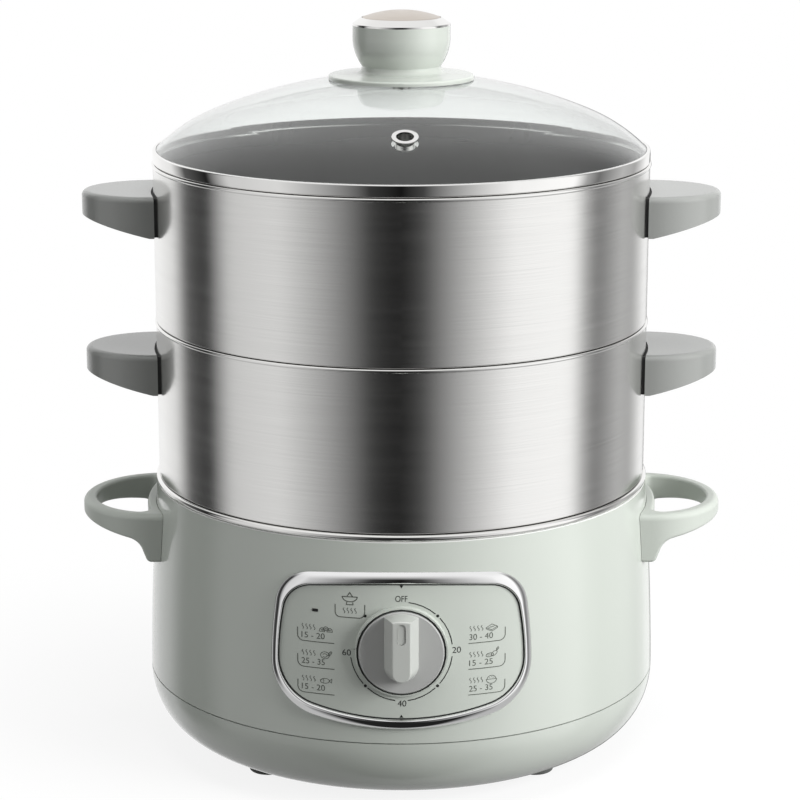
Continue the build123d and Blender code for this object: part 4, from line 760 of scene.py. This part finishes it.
def rice_bowl(x, z):
    sketch([bow((x, z + 0.2), 2.2, 1.9, -90, 90)])
    sketch([bow((x, z + 0.2), 2.6, 2.2, 90, 270)], closed=True)
    grains = [
        [(x + across - 0.2, z + up), (x + across + 0.2, z + up + 0.25)]
        for across, up in ((-0.9, 0.9), (0.1, 1.3), (0.9, 0.8))
    ]
    sketch(grains, crumb)


food_left, food_right, food_height = -37.4, 44.8, 98.6
for row, (left_food, right_food) in enumerate(((dumplings, slab), (joint_of_meat, cobs), (fish, rice_bowl))):
    left_food(food_left, food_height - row_pitch * row)
    right_food(food_right, food_height - row_pitch * row)

# The pot setting's box stands by itself, with a steaming pot over it.
pot_box = [
    (-32.7, 111.9), (-32.7, 107.9), (-32.3, 106.6), (-31.4, 105.8), (-30.3, 105.6), (-20.6, 105.4),
    (-19.3, 105.8), (-18.4, 106.9), (-18.1, 108.2), (-18.0, 112.3),
]
pot_brim = [(-29.4, 116.0), (-21.5, 116.0)]
pot_bowl = bow((-25.45, 116.0), 3.7, 2.5, 95, 265)
pot_stand = [(-26.9, 113.3), (-27.1, 112.0), (-23.8, 112.0), (-24.0, 113.3)]
pot_lid = [(-26.8, 116.2), (-25.45, 118.2), (-24.1, 116.2)]
sketch([pot_box], thin)
steam(-28.3, 107.6)
sketch([pot_brim, pot_bowl, pot_stand, pot_lid], thin)
lay("food_marks", food_drawing, panel_face + ink_lift, grey_ink)

# The dial's marks: three arcs broken by dots, a fourth dot by itself, numbers, and two small
# triangles that point at OFF from above and at 40 from below.
dial_drawing = bmesh.new()
arc_middle, arc_radius, dot_gap, dot_radius = (0, 88.8), 25.3, 3.4, 0.78
number_half_width, off_half_width, number_half_height = 2.15, 3.0, 1.55
triangle_half = 0.95
for start, end in (
    (8, 45 - dot_gap), (45 + dot_gap, 83), (97, 135 - dot_gap), (135 + dot_gap, 173),
    (187, 225 - dot_gap), (225 + dot_gap, 262),
):
    strip(dial_drawing, bow(arc_middle, arc_radius, arc_radius, start, end), bold)
for angle in (45, 135, 225, 315):
    dot = bow(arc_middle, arc_radius, arc_radius, angle, angle + 1)[0]
    patch(dial_drawing, bow(dot, dot_radius, dot_radius)[::-1])
for words, x, z, half in (
    ("20", 27.3, 88.9, number_half_width), ("40", 0.3, 62.2, number_half_width),
    ("60", -27.1, 87.6, number_half_width), ("OFF", 0, 115.7, off_half_width),
):
    label(dial_drawing, words, x - half, x + half, z - number_half_height, z + number_half_height)
patch(dial_drawing, [(-triangle_half, 122.5), (0, 121.0), (triangle_half, 122.5)])
patch(dial_drawing, [(-triangle_half, 54.8), (triangle_half, 54.8), (0, 56.3)])
lay("dial_marks", dial_drawing, panel_face + ink_lift, black_ink)

# A thin black ring in the mouth of the collar that the dial turns in is painted shade for the collar's
# shadowed bore.
dial_middle = (0, 89.2)
shade_ring_inner, shade_ring_outer, shade_ring_lift = 21.75, 22.3, 0.05
panel = nodes["control_panel"]
collar_face = min((panel.matrix_world @ vertex.co).y for vertex in panel.data.vertices)
shade_ring_drawing = bmesh.new()
inner, outer = [
    [
        shade_ring_drawing.verts.new((mm * x, collar_face - mm * shade_ring_lift, mm * z))
        for x, z in bow(dial_middle, radius, radius)
    ]
    for radius in (shade_ring_inner, shade_ring_outer)
]
for index in range(len(inner)):
    shade_ring_drawing.faces.new((inner[index - 1], inner[index], outer[index], outer[index - 1]))
shade_ring_drawing.normal_update()
if shade_ring_drawing.faces[:][0].normal.y > 0:
    bmesh.ops.reverse_faces(shade_ring_drawing, faces=shade_ring_drawing.faces)
shade_ring_mesh = bpy.data.meshes.new("dial_painted_shade_ring")
shade_ring_drawing.to_mesh(shade_ring_mesh)
shade_ring_drawing.free()
dial_painted_shade_ring = bpy.data.objects.new("dial_painted_shade_ring", shade_ring_mesh)
scene.collection.objects.link(dial_painted_shade_ring)
shade_ring_mesh.materials.append(black_ink)
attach(dial_painted_shade_ring, "base")


# Panel frame: a chromed casting with a rounded face that holds the panel against the shell. Its
# sides are 4 mm wide and its top and bottom 6 mm. A black strip of painted shade along its inner edge stands
# for the fine gap between it and the panel.

def circle_of(a, b, c):
    """Middle and radius of the circle through three points."""
    a, b, c = Vector(a), Vector(b), Vector(c)
    twice = 2 * (a.x * (b.y - c.y) + b.x * (c.y - a.y) + c.x * (a.y - b.y))
    aa, bb, cc = a.dot(a), b.dot(b), c.dot(c)
    middle = Vector((
        (aa * (b.y - c.y) + bb * (c.y - a.y) + cc * (a.y - b.y)) / twice,
        (aa * (c.x - b.x) + bb * (a.x - c.x) + cc * (b.x - a.x)) / twice,
    ))
    return middle, (a - middle).length


def along(middle, radius, start, end, steps):
    """Points round a circle from a start towards an end, which is left out."""
    first = math.atan2(start.y - middle.y, start.x - middle.x)
    turn = math.atan2(end.y - middle.y, end.x - middle.x) - first
    turn = (turn + math.pi) % (2 * math.pi) - math.pi
    angles = [first + turn * step / steps for step in range(steps)]
    return [(middle.x + radius * math.cos(angle), middle.y + radius * math.sin(angle)) for angle in angles]


frame_top, frame_top_half, frame_foot, frame_foot_half = 125.2, 60.0, 58.9, 64.5
top_bow, side_bow, foot_bow = 3.8, 2.6, 10.8
corner_radii = (20.0, 27.0, 27.0, 20.0)
side_steps, bend_steps = 36, 24


def frame_line(side_inset, end_inset):
    """The frame's outline from the front, or one inside it: four arcs with rounded corners."""
    top_half, low_half = frame_top_half - side_inset, frame_foot_half - side_inset
    top, low = frame_top - end_inset, frame_foot + end_inset
    half, middle = (top_half + low_half) / 2 + side_bow, (top + low) / 2
    sides = [
        ((-top_half, top), (0, top + top_bow), (top_half, top)),
        ((top_half, top), (half, middle), (low_half, low)),
        ((low_half, low), (0, low - foot_bow), (-low_half, low)),
        ((-low_half, low), (-half, middle), (-top_half, top)),
    ]
    circles = [circle_of(*side) for side in sides]
    corners = []
    for index, radius in enumerate(corner_radii):
        (one, one_radius), (other, other_radius) = circles[index], circles[(index + 1) % 4]
        radius -= side_inset
        reach, beyond = one_radius - radius, other_radius - radius
        gap = (other - one).length
        share = (gap ** 2 + reach ** 2 - beyond ** 2) / (2 * gap)
        ahead = (other - one) / gap
        off = math.sqrt(reach ** 2 - share ** 2) * Vector((-ahead.y, ahead.x))
        point = Vector(sides[index][2])
        centre = min((one + ahead * share + off, one + ahead * share - off), key=lambda c: (c - point).length)
        corners.append((
            centre, radius, one + (centre - one).normalized() * one_radius,
            other + (centre - other).normalized() * other_radius,
        ))
    line = []
    for index, (middle, radius) in enumerate(circles):
        line += along(middle, radius, corners[index - 1][3], corners[index][2], side_steps)
        centre, bend, leaves, meets = corners[index]
        line += along(centre, bend, leaves, meets, bend_steps)
    return line


frame_side, frame_end, frame_low, frame_high = 4.0, 6.0, 0.3, 3.85
gap_inset, gap_shade_width, gap_lift = 0.1, 0.7, 0.04
frame_profile = [  # share of the width from the outer edge inwards, and share of the height
    (0, 0), (0, 0.2), (0.03, 0.3), (0.08, 0.41), (0.16, 0.55), (0.28, 0.69), (0.4, 0.8), (0.52, 0.89),
    (0.62, 0.95), (0.7, 0.985), (0.77, 1), (0.82, 0.985), (0.88, 0.92), (0.93, 0.79), (0.97, 0.6),
    (1, 0.34), (1, 0),
]
frame_drawing = bmesh.new()
rings = [
    [
        frame_drawing.verts.new((x, -(frame_low + (frame_high - frame_low) * height), z))
        for x, z in frame_line(frame_side * share, frame_end * share)
    ]
    for share, height in frame_profile
]
for ring, inner in zip(rings, rings[1:] + rings[:1]):
    for index in range(len(ring)):
        frame_drawing.faces.new((ring[index], ring[index - 1], inner[index - 1], inner[index]))
chrome = polished("chrome", (0.93, 0.93, 0.93), 0.03)
frame_rim = lay("frame_rim", frame_drawing, 0.0, chrome, slot="polished_steel", smooth=True)
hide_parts("panel_frame")
# A black strip laid on the panel along the frame's inner edge: painted shade for the gap's shadow.
gap_shade_drawing = bmesh.new()
gap_middle = frame_line(frame_side + gap_inset, frame_end + gap_inset)[::-1]
strip(gap_shade_drawing, gap_middle, gap_shade_width, closed=True)
lay("panel_gap_painted_shade", gap_shade_drawing, panel_face + gap_lift, black_ink)


# Feet, seals and inner pieces: grey rubber feet, pale silicone under the lid's knob and round the
# pot, and the working pieces inside the base, most of which never show.
foot_grey = moulded("foot_grey", (0.12, 0.125, 0.12), 0.8)
dress(foot_grey, "rubber_feet")
silicone = moulded("silicone", (0.7, 0.71, 0.69), 0.5)
dress(silicone, "pot_seal_ring", "lid_knob_gasket", "lid_knob_washer")
zinc = polished("zinc_plate", (0.62, 0.63, 0.63), 0.3)
dress(
    zinc, "base_handle_screws", "bottom_cover_screws", "heat_shield", "heater_nuts", "heating_element",
    "panel_screws", "power_inlet_screws", "thermostat_clip", "timer_bell", "timer_mainspring",
    "timer_plate", "timer_screws", "timer_shaft",
)
cast_aluminium = moulded("cast_aluminium", (0.62, 0.63, 0.64), 0.45)
dress(cast_aluminium, "heating_plate")
black_plastic = moulded("black_plastic", (0.025, 0.025, 0.025), 0.4)
dress(black_plastic, "power_inlet", "timer_case", "timer_cam")
brass = polished("brass", (0.78, 0.60, 0.30), 0.25)
dress(brass, "power_inlet_pins", "timer_contacts")
ceramic = moulded("ceramic", (0.82, 0.81, 0.77), 0.3)
dress(ceramic, "thermal_fuse", "thermostat", "indicator_lamp")
for name, colour in (
    ("live_lead", (0.16, 0.06, 0.03)),
    ("neutral_lead", (0.03, 0.10, 0.42)),
    ("earth_lead", (0.15, 0.36, 0.04)),
    ("heater_leads", (0.75, 0.74, 0.70)),
):
    dress(moulded(f"{name}_sleeve", colour, 0.5), name)
